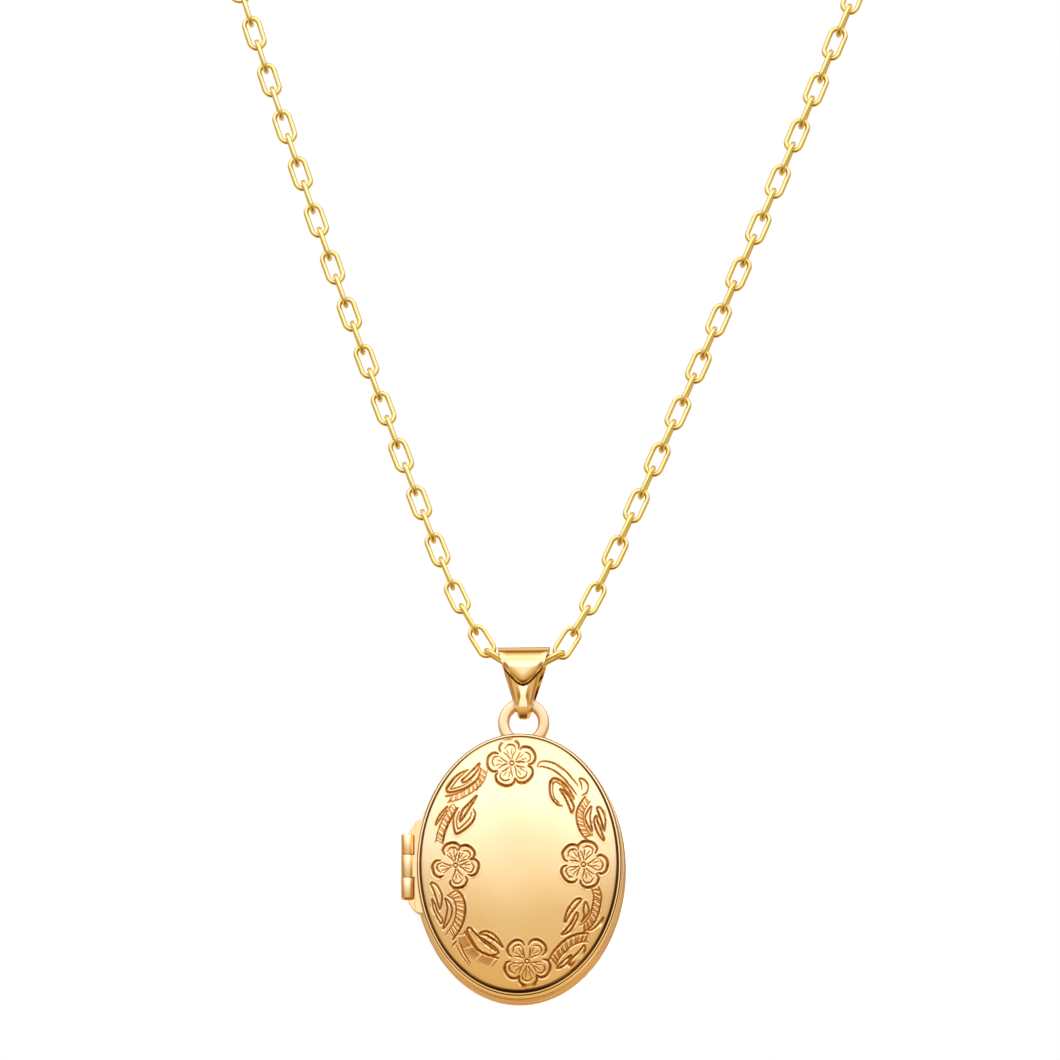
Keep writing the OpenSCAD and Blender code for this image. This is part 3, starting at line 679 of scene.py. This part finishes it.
# %% Collar and frames
def oval_rim(inset, width, front, thick, rounding):
    """A rim between two depths behind the closing line."""
    outer = HALF_W - inset
    corners = [(outer, front), (outer, front + thick), (outer - width, front + thick),
               (outer - width, front)]
    bm = lathe([(r, h, rounding) for r, h in corners], SHELL_STEPS, closed=True)
    return make_oval(bm, 1.0, 1)


FRAME_W, FRAME_IN = 0.9, 0.98
collar_low, collar_high = box_mm("closing_collar")
add_piece(oval_rim(COLLAR_IN, COLLAR_IN_2 - COLLAR_IN, collar_low.y - CASE.y,
                   collar_high.y - collar_low.y, 0.07),
          "closing_wall", "case", [inner_gold], ["closing_collar"])
for name, body in (("front_photo_frame", "cover"), ("rear_photo_frame", "case")):
    low, high = box_mm(name)
    add_piece(oval_rim(FRAME_IN, FRAME_W, low.y - CASE.y, high.y - low.y, 0.12),
              name.replace("photo_frame", "picture_rim"), body, [satin_gold],
              [name])


# %% [markdown]
# ## The hinge
# Two thin plates are soldered to the halves. Their knuckles are short tubes, turned here as
# rounded rectangles, and a pin runs through them. The plates are drawn flat, pushed to their
# thickness and given a small bevel.

# %% Hinge
pin_low, pin_high = box_mm("hinge_pin")
HINGE = (pin_low + pin_high) / 2
BARREL_R, BARREL_HALF, MID_HALF, KNUCKLE_GAP, PIN_R = 0.5, 2.45, 0.85, 0.05, 0.24
LEAF_TOP, LEAF_T, LEAF_BITE, LEAF_ROUND, BARREL_SPACE = 3.6, 0.28, 0.13, 0.05, 0.54
FRONT_LEAF_Y, REAR_LEAF_Y = CASE.y - 0.05, CASE.y + 0.03
SINK_R, SINK_D = 0.38, 0.3


def together(parts):
    """One bmesh from several."""
    whole = bmesh.new()
    for part in parts:
        mesh = bpy.data.meshes.new("part")
        part.to_mesh(mesh)
        part.free()
        whole.from_mesh(mesh)
        bpy.data.meshes.remove(mesh)
    return whole


def plate(points, low_y, high_y):
    """A flat plate from (x, z) points, between two depths, with its sharp edges bevelled."""
    bm = bmesh.new()
    face = bm.faces.new([bm.verts.new((x, high_y, z)) for x, z in points])
    pushed = bmesh.ops.extrude_face_region(bm, geom=[face])["geom"]
    bmesh.ops.translate(bm, verts=[g for g in pushed if isinstance(g, bmesh.types.BMVert)],
                        vec=(0, low_y - high_y, 0))
    bmesh.ops.recalc_face_normals(bm, faces=bm.faces[:])
    sharp = [e for e in bm.edges if e.calc_face_angle(0) > math.radians(40)]
    bmesh.ops.bevel(bm, geom=sharp, offset=LEAF_ROUND, segments=3, profile=0.5,
                    affect="EDGES", material=-1, clamp_overlap=True)
    return bm


def leaf_outline(inset, middle_reaches):
    """One hinge leaf. Either its middle or its two ends reach to the hinge's axis."""
    def wall_x(z):
        return CASE.x - (HALF_W - inset) * math.sqrt(1 - (z / (HALF_H - inset)) ** 2)
    start = BARREL_SPACE if middle_reaches else 0.0
    low = BARREL_HALF + 0.05
    free = [(HINGE.x + t, low + (LEAF_TOP - low) * math.sin(math.pi / 2 * t) ** 0.75)
            for t in np.linspace(start, 1, 9)]
    wall = [(wall_x(z), z) for z in np.linspace(LEAF_TOP, -LEAF_TOP, 25)]
    back = [(x, -z) for x, z in reversed(free)]
    near, far = HINGE.x, HINGE.x + BARREL_SPACE
    if middle_reaches:
        foot = [(far, -MID_HALF), (near, -MID_HALF), (near, MID_HALF), (far, MID_HALF)]
    else:
        m = MID_HALF + KNUCKLE_GAP
        foot = [(near, -m), (far, -m), (far, m), (near, m)]
    return [(x, z + CASE.z) for x, z in free + wall + back + foot]


def knuckle(low, high, sink_low=False, sink_high=False):
    """A short tube along the hinge. A sunk end is opened out to show the pin's head."""
    def end(z, way, sink):
        if sink:
            return [(BARREL_R, z, 0.07), (SINK_R, z, 0.03), (SINK_R, z - way * SINK_D, 0),
                    (PIN_R, z - way * SINK_D, 0)]
        return [(BARREL_R, z, 0.015), (PIN_R, z, 0)]
    outline = end(high, 1, sink_high)[::-1] + end(low, -1, sink_low)
    bm = lathe(outline, 64, closed=True)
    move(bm, HINGE)
    return bm


front_leaf = plate(leaf_outline(SIDE_IN + LEAF_BITE, True), FRONT_LEAF_Y - LEAF_T,
                   FRONT_LEAF_Y)
add_piece(together([front_leaf, knuckle(-MID_HALF, MID_HALF)]), "front_leaf", "cover",
          [polished_gold], ["front_hinge_leaf"])
rear_leaf = plate(leaf_outline(0.12 + LEAF_BITE, False), REAR_LEAF_Y, REAR_LEAF_Y + LEAF_T)
inner_end = MID_HALF + KNUCKLE_GAP
add_piece(together([rear_leaf, knuckle(inner_end, BARREL_HALF, sink_high=True),
                    knuckle(-BARREL_HALF, -inner_end, sink_low=True)]), "rear_leaf", "case",
          [polished_gold], ["rear_hinge_leaf"])
pin_half = pin_high.z - HINGE.z
bm = lathe([(0, pin_half, 0), (PIN_R, pin_half, 0.06), (PIN_R, -pin_half, 0.06),
            (0, -pin_half, 0)], 48)
move(bm, HINGE)
add_piece(bm, "pin", "case", [inner_gold], ["hinge_pin"])


# %% [markdown]
# ## The pendant ring
# A flat ring with rounded edges is soldered behind the top of the case. It is turned whole
# and then cut level, just inside the shell's wall.

# %% Pendant ring
ring_low, ring_high = box_mm("pendant_ring")
RING_R, RING_HOLE_R, RING_ROUND = 1.95, 1.08, 0.25
RING_CUT_Z = -5.5
half_t = (ring_high.y - ring_low.y) / 2
ring_z = ring_high.z - RING_R
bm = lathe([(RING_R, half_t, RING_ROUND), (RING_R, -half_t, RING_ROUND),
            (RING_HOLE_R, -half_t, RING_ROUND), (RING_HOLE_R, half_t, RING_ROUND)], 160,
           closed=True)
turn(bm, 90, "X")
move(bm, (0, 0, ring_z))
bmesh.ops.bisect_plane(bm, geom=bm.verts[:] + bm.edges[:] + bm.faces[:],
                       plane_co=(0, 0, RING_CUT_Z), plane_no=(0, 0, 1), clear_inner=True)
bmesh.ops.edgeloop_fill(bm, edges=[e for e in bm.edges if e.is_boundary])
add_piece(bm, "brushed_ring", "case", [satin_gold], ["pendant_ring"])


# %% [markdown]
# ## The bail
# The bail is a tapering strip of sheet folded over the chain and closed round the ring. Its
# front is pressed into a shield, with a crease under it and a narrow keel below. It is made
# from two grids, the outer and the inner skin, laid round the fold; the front relief is
# added to the outer one, and the two are bridged along their sides.

# %% Bail
BAIL_R, BAIL_IN_R, EYE_IN_R, TIP_T, BAIL_T = 1.55, 1.2, 0.618, 0.6, 0.35
EYE_WORN = 0.04         # the ring has rubbed the eye a little wider
BAIL_DROP, BAIL_HALF_W, BAIL_TAPER = 2.72, 2.0, 0.3
BAIL_ALONG, BAIL_ACROSS, CREASE_Z = 300, 80, -1.6


def fold_point(u, top_r, low_r, low_z):
    """A point (y, z) and its outward direction, round the fold from the tip, front first."""
    lean = math.asin((top_r - low_r) / -low_z)
    low_arc, straight = 0.17, 0.14
    side = 1
    if u > 0.5:
        u, side = 1 - u, -1
    top_arc = 0.5 - low_arc - straight
    if u < low_arc:
        t = math.radians(270) - (math.radians(90) - lean) * u / low_arc
        y, z, ny, nz = low_r * math.cos(t), low_z + low_r * math.sin(t), math.cos(t), math.sin(t)
    else:
        t = math.pi + lean
        ny, nz = math.cos(t), math.sin(t)
        if u < low_arc + straight:
            k = (u - low_arc) / straight
            r, centre = low_r + (top_r - low_r) * k, low_z * (1 - k)
        else:
            t -= (math.pi / 2 + lean) * (u - low_arc - straight) / top_arc
            ny, nz, r, centre = math.cos(t), math.sin(t), top_r, 0
        y, z = r * ny, centre + r * nz
    return side * y, z, side * ny, nz


TIP_Z = -BAIL_DROP - EYE_IN_R - TIP_T
slope = math.atan(BAIL_TAPER)
zero_w = BAIL_HALF_W - BAIL_TAPER * BAIL_R
end_z = (math.cos(slope) * zero_w + TIP_Z) / (1 - math.cos(slope) * BAIL_TAPER)
end_r = end_z - TIP_Z
side_z = end_z - end_r * math.sin(slope)


def bail_half(z):
    if z > side_z:
        return zero_w + BAIL_TAPER * z
    return math.sqrt(max(end_r ** 2 - (z - end_z) ** 2, 0))


def ease(t):
    t = min(max(t, 0.0), 1.0)
    return t * t * (3 - 2 * t)


def past_crease(x, z):
    """Distance above the crease, which runs from both top corners round under the shield."""
    bend = math.hypot(x, 0.65)
    return (z - CREASE_Z - 1.36 * (bend - 0.65)) * (1 - 0.4 * abs(x) / bend)


def front_relief(x, z):
    """How far the front stands out: a shield, a crease, a keel and lowered edges."""
    across = abs(x) / max(bail_half(z), 1e-3)
    from_crease = past_crease(x, z)
    low_down = 1 - ease((z - 0.2) / 0.9)
    edge = -0.18 * ease((across - 0.72) / 0.28) * low_down * (1 - ease((-2.9 - z) / 0.6))
    if from_crease > 0:
        shield = 0.05 + 0.2 * max(0.45 - z, 0)
        return shield * (1 - math.exp(-(from_crease / 0.26) ** 1.3)) + edge
    keel = 0.06 + 0.22 * (CREASE_Z - z)
    side = (across - 0.18 - 0.45 * ease((-2.4 - z) / 1.2)) / 0.4
    return keel * (1 - ease(side)) * (1 - math.exp(from_crease / 0.12)) + edge


def bail_skin(top_r, low_r, low_z, relief):
    bm = bmesh.new()
    bmesh.ops.create_grid(bm, x_segments=BAIL_ALONG, y_segments=BAIL_ACROSS, size=0.5)
    for v in bm.verts:
        y, z, ny, nz = fold_point(v.co.x + 0.5, top_r, low_r, low_z)
        x = 2 * v.co.y * bail_half(z)
        out = relief * front_relief(x, z) * ease((z - TIP_Z - 0.03) / 0.22) if ny < 0.2 else 0.0
        v.co = (x, y + ny * out, z + nz * out)
    bmesh.ops.remove_doubles(bm, verts=bm.verts[:], dist=0.0008)
    return bm


bm = together([bail_skin(BAIL_R, EYE_IN_R + BAIL_T, -BAIL_DROP - TIP_T + BAIL_T, 1),
               bail_skin(BAIL_IN_R, EYE_IN_R + EYE_WORN, -BAIL_DROP, 0)])
for way in (1, -1):
    rim = [e for e in bm.edges if e.is_boundary and way * (e.verts[0].co + e.verts[1].co).x > 0]
    bmesh.ops.bridge_loops(bm, edges=rim)
bmesh.ops.recalc_face_normals(bm, faces=bm.faces[:])


def pick_bail(centre, normal):
    """0 polished, 1 painted shade in the crease under the shield."""
    # Painted shade: faces along the crease get the dark gold.
    return 1 if normal.y < 0 and -0.05 < past_crease(centre.x, centre.z) < 0.09 else 0


add_piece(bm, "folded_bail", "bail", [polished_gold, painted_shade_gold], ["bail"],
          pick_bail)


# %% [markdown]
# ## The chain
# A cable chain is all one link, turned a quarter each time. The link is a ring of round wire
# pulled longer: a circle is spun into a ring, and its two halves are drawn apart. The
# strands follow the same rule as in the CAD model, joint after joint.

# %% Chain
PITCH, WIRE_D, LINK_W, PLAY, MIDDLE_Z = 1.98, 0.38, 1.54, 0.12, 0.2
LEFT_LINKS, RIGHT_LINKS, LEFT_START, RIGHT_START = 28, 29, 33, 27


def first_joint(side, start):
    start = math.radians(start)
    return [side * (PITCH / 2 + PITCH * math.cos(start)), MIDDLE_Z + PITCH * math.sin(start)]


def joints(side, start, links, lean):
    points = [first_joint(side, start)]
    for i in range(links):
        a = math.radians(lean(i))
        points.append([points[-1][0] + side * PITCH * math.sin(a),
                       points[-1][1] + PITCH * math.cos(a)])
    return points


left_joints = joints(-1, LEFT_START, LEFT_LINKS,
                     lambda i: 21.5 - 0.16 * i + 9.5 * math.exp(-i * i / 4))
right_joints = joints(1, RIGHT_START, RIGHT_LINKS,
                      lambda i: 24.6 - 0.11 * i + 7 * math.exp(-i * i / 4))


# A link: a ring of round wire, stood in the XZ plane, whose two halves are drawn apart.
RING_STEPS, WIRE_SIDES = 32, 16
link_r = (LINK_W - WIRE_D) / 2
half_straight = (PITCH + PLAY + WIRE_D - 2 * link_r) / 2
bm = bmesh.new()
bmesh.ops.create_circle(bm, segments=WIRE_SIDES, radius=WIRE_D / 2)
turn(bm, 90, "X")
move(bm, (link_r, 0, 0))
bmesh.ops.spin(bm, geom=bm.verts[:] + bm.edges[:], cent=(0, 0, 0), axis=(0, 0, 1),
               angle=math.tau, steps=RING_STEPS, use_merge=True)
bmesh.ops.recalc_face_normals(bm, faces=bm.faces[:])
turn(bm, 180 / RING_STEPS, "Z")
turn(bm, 90, "X")
for v in bm.verts:
    v.co.z += half_straight if v.co.z > 0 else -half_straight
link_mesh = bpy.data.meshes.new("link")
bm.to_mesh(link_mesh)
bm.free()


def strand(pairs):
    """Links between pairs of joints: (a, b, edge on or not)."""
    bm = bmesh.new()
    for a, b, edge_on in pairs:
        start = len(bm.verts)
        bm.from_mesh(link_mesh)
        bm.verts.ensure_lookup_table()
        lean = math.atan2(b[0] - a[0], b[1] - a[1])
        place = (Matrix.Translation(((a[0] + b[0]) / 2, 0, (a[1] + b[1]) / 2))
                 @ Matrix.Rotation(lean, 4, "Y") @ Matrix.Rotation(math.pi / 2 * edge_on, 4, "Z"))
        bmesh.ops.transform(bm, matrix=place, verts=bm.verts[start:])
    return bm


def alternate(points):
    return [(a, b, i % 2) for i, (a, b) in enumerate(zip(points, points[1:]))]


middle = [(-PITCH / 2, MIDDLE_Z), (PITCH / 2, MIDDLE_Z)]
add_piece(strand([(middle[0], middle[1], 0), (middle[0], left_joints[0], 1),
                  (middle[1], right_joints[0], 1)]), "middle_links", "chain",
          [chain_gold], ["chain_middle"])


def hang_strand(side, points):
    """A strand of links along its joints, made as one piece."""
    piece = add_piece(strand(alternate(points)), side + "_links", "chain",
                      [chain_gold], ["chain_" + side])


hang_strand("left", left_joints)
hang_strand("right", right_joints)


# %% [markdown]
# ## The papers behind the windows
# Each picture would be a thin oval of paper cut to the window's size. In the CAD model it
# touches the acetate, and two faces in one plane leave dark streaks in a render. So the
# paper is made again as a spun disc stretched to an oval, a hair thinner on the window's side.

# %% Papers
PAPER_GAP = 0.02


def paper_oval(half, body):
    low, high = box_mm(half + "_photo")
    window_low = box_mm(half + "_window")[0]
    radius = (high.x - low.x) / 2
    thick = high.y - low.y - PAPER_GAP
    bm = lathe([(0, 0, 0), (radius, 0, 0), (radius, thick, 0), (0, thick, 0)], 128)
    bmesh.ops.scale(bm, vec=(1, (high.z - low.z) / (high.x - low.x), 1), verts=bm.verts[:])
    turn(bm, -90, "X")
    lift = 0 if window_low.y > low.y else PAPER_GAP
    move(bm, ((low.x + high.x) / 2, low.y + lift, (low.z + high.z) / 2))
    add_piece(bm, half + "_paper", body, [photo_paper], [half + "_photo"])


paper_oval("front", "cover")
paper_oval("rear", "case")


# %% [markdown]
# ## The pieces that keep their CAD shape
# The jump rings, the clasp with its lever and spring, the end tag and the windows are right
# as they are, so they only get their finish.

# %% Finishes on the CAD nodes
KEPT = {"clasp_body": chain_gold, "clasp_lever": chain_gold, "clasp_eye": chain_gold,
        "end_tag": chain_gold, "clasp_spring": spring_steel, "snap_bead": inner_gold,
        "left_jump_ring": chain_gold, "right_jump_ring": chain_gold,
        "front_window": clear_acetate, "rear_window": clear_acetate}
for name, material in KEPT.items():
    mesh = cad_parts[name].data
    mesh.materials.clear()
    mesh.materials.append(material)
print("kept:", sorted(KEPT))


# %% [markdown]
# ## The studio
# Polished gold shows the room and not itself, so the room is designed: a broad bright sky in
# front and above, dimmer and warmer towards the floor, and darker gaps at the sides and
# behind that draw the edges. The camera itself sees plain white. The pale floor lies well
# below and is left out of the reflections.

# %% World
world = bpy.data.worlds.new("studio")
scene.world = world
world.use_nodes = True
tree = world.node_tree
tree.nodes.clear()
direction = add_node(tree, "ShaderNodeTexCoord").outputs["Generated"]
axes = add_node(tree, "ShaderNodeSeparateXYZ", Vector=direction)
height = add_node(tree, "ShaderNodeMapRange", Value=axes.outputs[2], i1=-1, i2=1).outputs[0]
sideways_amount = add_node(tree, "ShaderNodeMath", {"operation": "ABSOLUTE"},
                           i0=axes.outputs[0]).outputs[0]

# Each row is an elevation in degrees and the red, green and blue light that comes from it.
SKY_STRENGTH = 3.0
FRONT_SKY = [(-90, 0.12, 0.07, 0.03), (-50, 0.2, 0.12, 0.05), (-25, 0.72, 0.55, 0.32),
             (-8, 0.82, 0.67, 0.46), (4, 0.84, 0.78, 0.7), (9, 1.0, 1.0, 1.1),
             (14, 1.28, 1.4, 1.95), (19, 1.6, 1.75, 2.7), (25, 1.9, 2.0, 3.0),
             (40, 1.65, 1.75, 2.3), (60, 1.35, 1.4, 1.6), (78, 0.9, 0.75, 0.55),
             (90, 0.35, 0.18, 0.06)]
BACK_SKY = [(-90, 0.12, 0.07, 0.03), (-60, 0.6, 0.42, 0.18), (-35, 0.9, 0.68, 0.34),
            (-10, 0.78, 0.62, 0.4), (10, 0.55, 0.43, 0.28), (38, 0.3, 0.2, 0.1),
            (50, 0.9, 0.8, 0.65), (66, 1.1, 1.0, 0.85), (78, 0.45, 0.25, 0.1),
            (90, 0.35, 0.18, 0.06)]
SIDE_GAP = (0.12, 0.066, 0.024, 1)


def by_height(steps):
    """Light by elevation in degrees, as a ramp over the direction's height."""
    return colour_steps(tree, height, [
        ((math.sin(math.radians(e)) + 1) / 2, [c / SKY_STRENGTH for c in light] + [1])
        for e, *light in steps])


def by_side(start, end, low, high):
    """A factor that changes with how far to either side a direction points."""
    return add_node(tree, "ShaderNodeMapRange", {"interpolation_type": "SMOOTHSTEP"},
                    Value=sideways_amount, i1=start, i2=end, i3=low, i4=high).outputs[0]


def scaled(light, factor):
    return add_node(tree, "ShaderNodeVectorMath", {"operation": "SCALE"}, i0=light,
                    Scale=factor).outputs[0]


front_sky = scaled(by_height(FRONT_SKY), by_side(0.15, 0.85, 1.0, 0.72))
back_sky = scaled(by_height(BACK_SKY), by_side(0.3, 0.6, 1.0, 1.5))
behind = add_node(tree, "ShaderNodeMapRange", {"interpolation_type": "SMOOTHSTEP"},
                  Value=axes.outputs[1], i1=-0.3, i2=0.3).outputs[0]
sky = add_node(tree, "ShaderNodeMix", {"data_type": "RGBA"}, i0=behind, i6=front_sky,
               i7=back_sky).outputs[2]
room = add_node(tree, "ShaderNodeMix", {"data_type": "RGBA"}, i0=by_side(0.88, 0.97, 0.0, 0.8),
                i6=sky, i7=SIDE_GAP).outputs[2]
studio = add_node(tree, "ShaderNodeBackground", Color=room, Strength=SKY_STRENGTH)
plain = add_node(tree, "ShaderNodeBackground", Color=(1, 1, 1, 1), Strength=1.0)
seen = add_node(tree, "ShaderNodeLightPath").outputs["Is Camera Ray"]
mixed = add_node(tree, "ShaderNodeMixShader", i0=seen, i1=studio.outputs[0],
                 i2=plain.outputs[0])
add_node(tree, "ShaderNodeOutputWorld", Surface=mixed.outputs[0])

# %% Floor
FLOOR_Z, FLOOR_SIZE = -200.0, 4000.0
floor_material, tree = new_material("painted_studio_floor")
place = add_node(tree, "ShaderNodeTexCoord").outputs["Object"]
mottle = add_node(tree, "ShaderNodeTexNoise", Vector=place, Scale=6.0)
tone = colour_steps(tree, mottle.outputs[0],
                    [(0.3, colour("#EEEEE4")), (0.7, colour("#F2F2E9"))])
shader = add_node(tree, "ShaderNodeBsdfPrincipled", Base_Color=tone, Roughness=0.8)
add_node(tree, "ShaderNodeOutputMaterial", Surface=shader.outputs[0])
bm = bmesh.new()
bmesh.ops.create_grid(bm, x_segments=1, y_segments=1, size=FLOOR_SIZE / 2)
move(bm, (0, 0, FLOOR_Z))
floor = new_object(bm, "floor", [floor_material])
floor.visible_glossy = False
floor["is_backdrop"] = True

# %% Shadow card
# A small white card stands behind the case and catches its soft shadow. Only the camera
# sees it, and it fades out towards its edge and when looked at from behind.
CARD_BACK, CARD_RADIUS = 30.0, 27.0
card_material, tree = new_material("shadow_card")
place = add_node(tree, "ShaderNodeTexCoord").outputs["Object"]
from_middle = add_node(tree, "ShaderNodeVectorMath", {"operation": "LENGTH"}, i0=place)
fade = add_node(tree, "ShaderNodeMapRange", {"interpolation_type": "SMOOTHSTEP"},
                Value=from_middle.outputs["Value"], i1=0.55 * CARD_RADIUS * MM,
                i2=CARD_RADIUS * MM)
turned_away = add_node(tree, "ShaderNodeNewGeometry").outputs["Backfacing"]
hidden = add_node(tree, "ShaderNodeMath", {"operation": "MAXIMUM"}, i0=fade.outputs[0],
                  i1=turned_away)
card_white = add_node(tree, "ShaderNodeBsdfDiffuse", Color=(0.55, 0.54, 0.49, 1))
clear = add_node(tree, "ShaderNodeBsdfTransparent")
card_mix = add_node(tree, "ShaderNodeMixShader", i0=hidden.outputs[0], i1=card_white.outputs[0],
                    i2=clear.outputs[0])
add_node(tree, "ShaderNodeOutputMaterial", Surface=card_mix.outputs[0])
bm = bmesh.new()
bmesh.ops.create_circle(bm, cap_ends=True, segments=96, radius=CARD_RADIUS)
turn(bm, 90, "X")
card = new_object(bm, "shadow_card", [card_material])
card.location = Vector((-1.0, CARD_BACK, -5.5)) * MM
for ray in ("diffuse", "glossy", "transmission", "shadow", "volume_scatter"):
    setattr(card, "visible_" + ray, False)
card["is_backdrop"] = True

# %% Lamps
for name, place, power, size in (("key", (0.35, -0.5, 0.5), 1.5, 0.3),
                                 ("fill", (-0.5, -0.4, 0.2), 0.8, 0.3),
                                 ("shadow_lamp", (0.046, -0.58, -0.118), 6.0, 0.09)):
    lamp = bpy.data.lights.new(name, "AREA")
    lamp.size, lamp.energy = size, power
    holder = bpy.data.objects.new(name, lamp)
    holder.location = place
    holder.rotation_mode = "QUATERNION"
    holder.rotation_quaternion = Vector(place).to_track_quat("Z", "Y")
    holder.visible_glossy = False
    scene.collection.objects.link(holder)
scene.view_settings.view_transform = "Standard"
print("studio ready")


# %% [markdown]
# ## Finish
# The finished surfaces must fill the same box as the CAD model. Here the box of the
# finished scene is found.

# %% Finish
low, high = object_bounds()
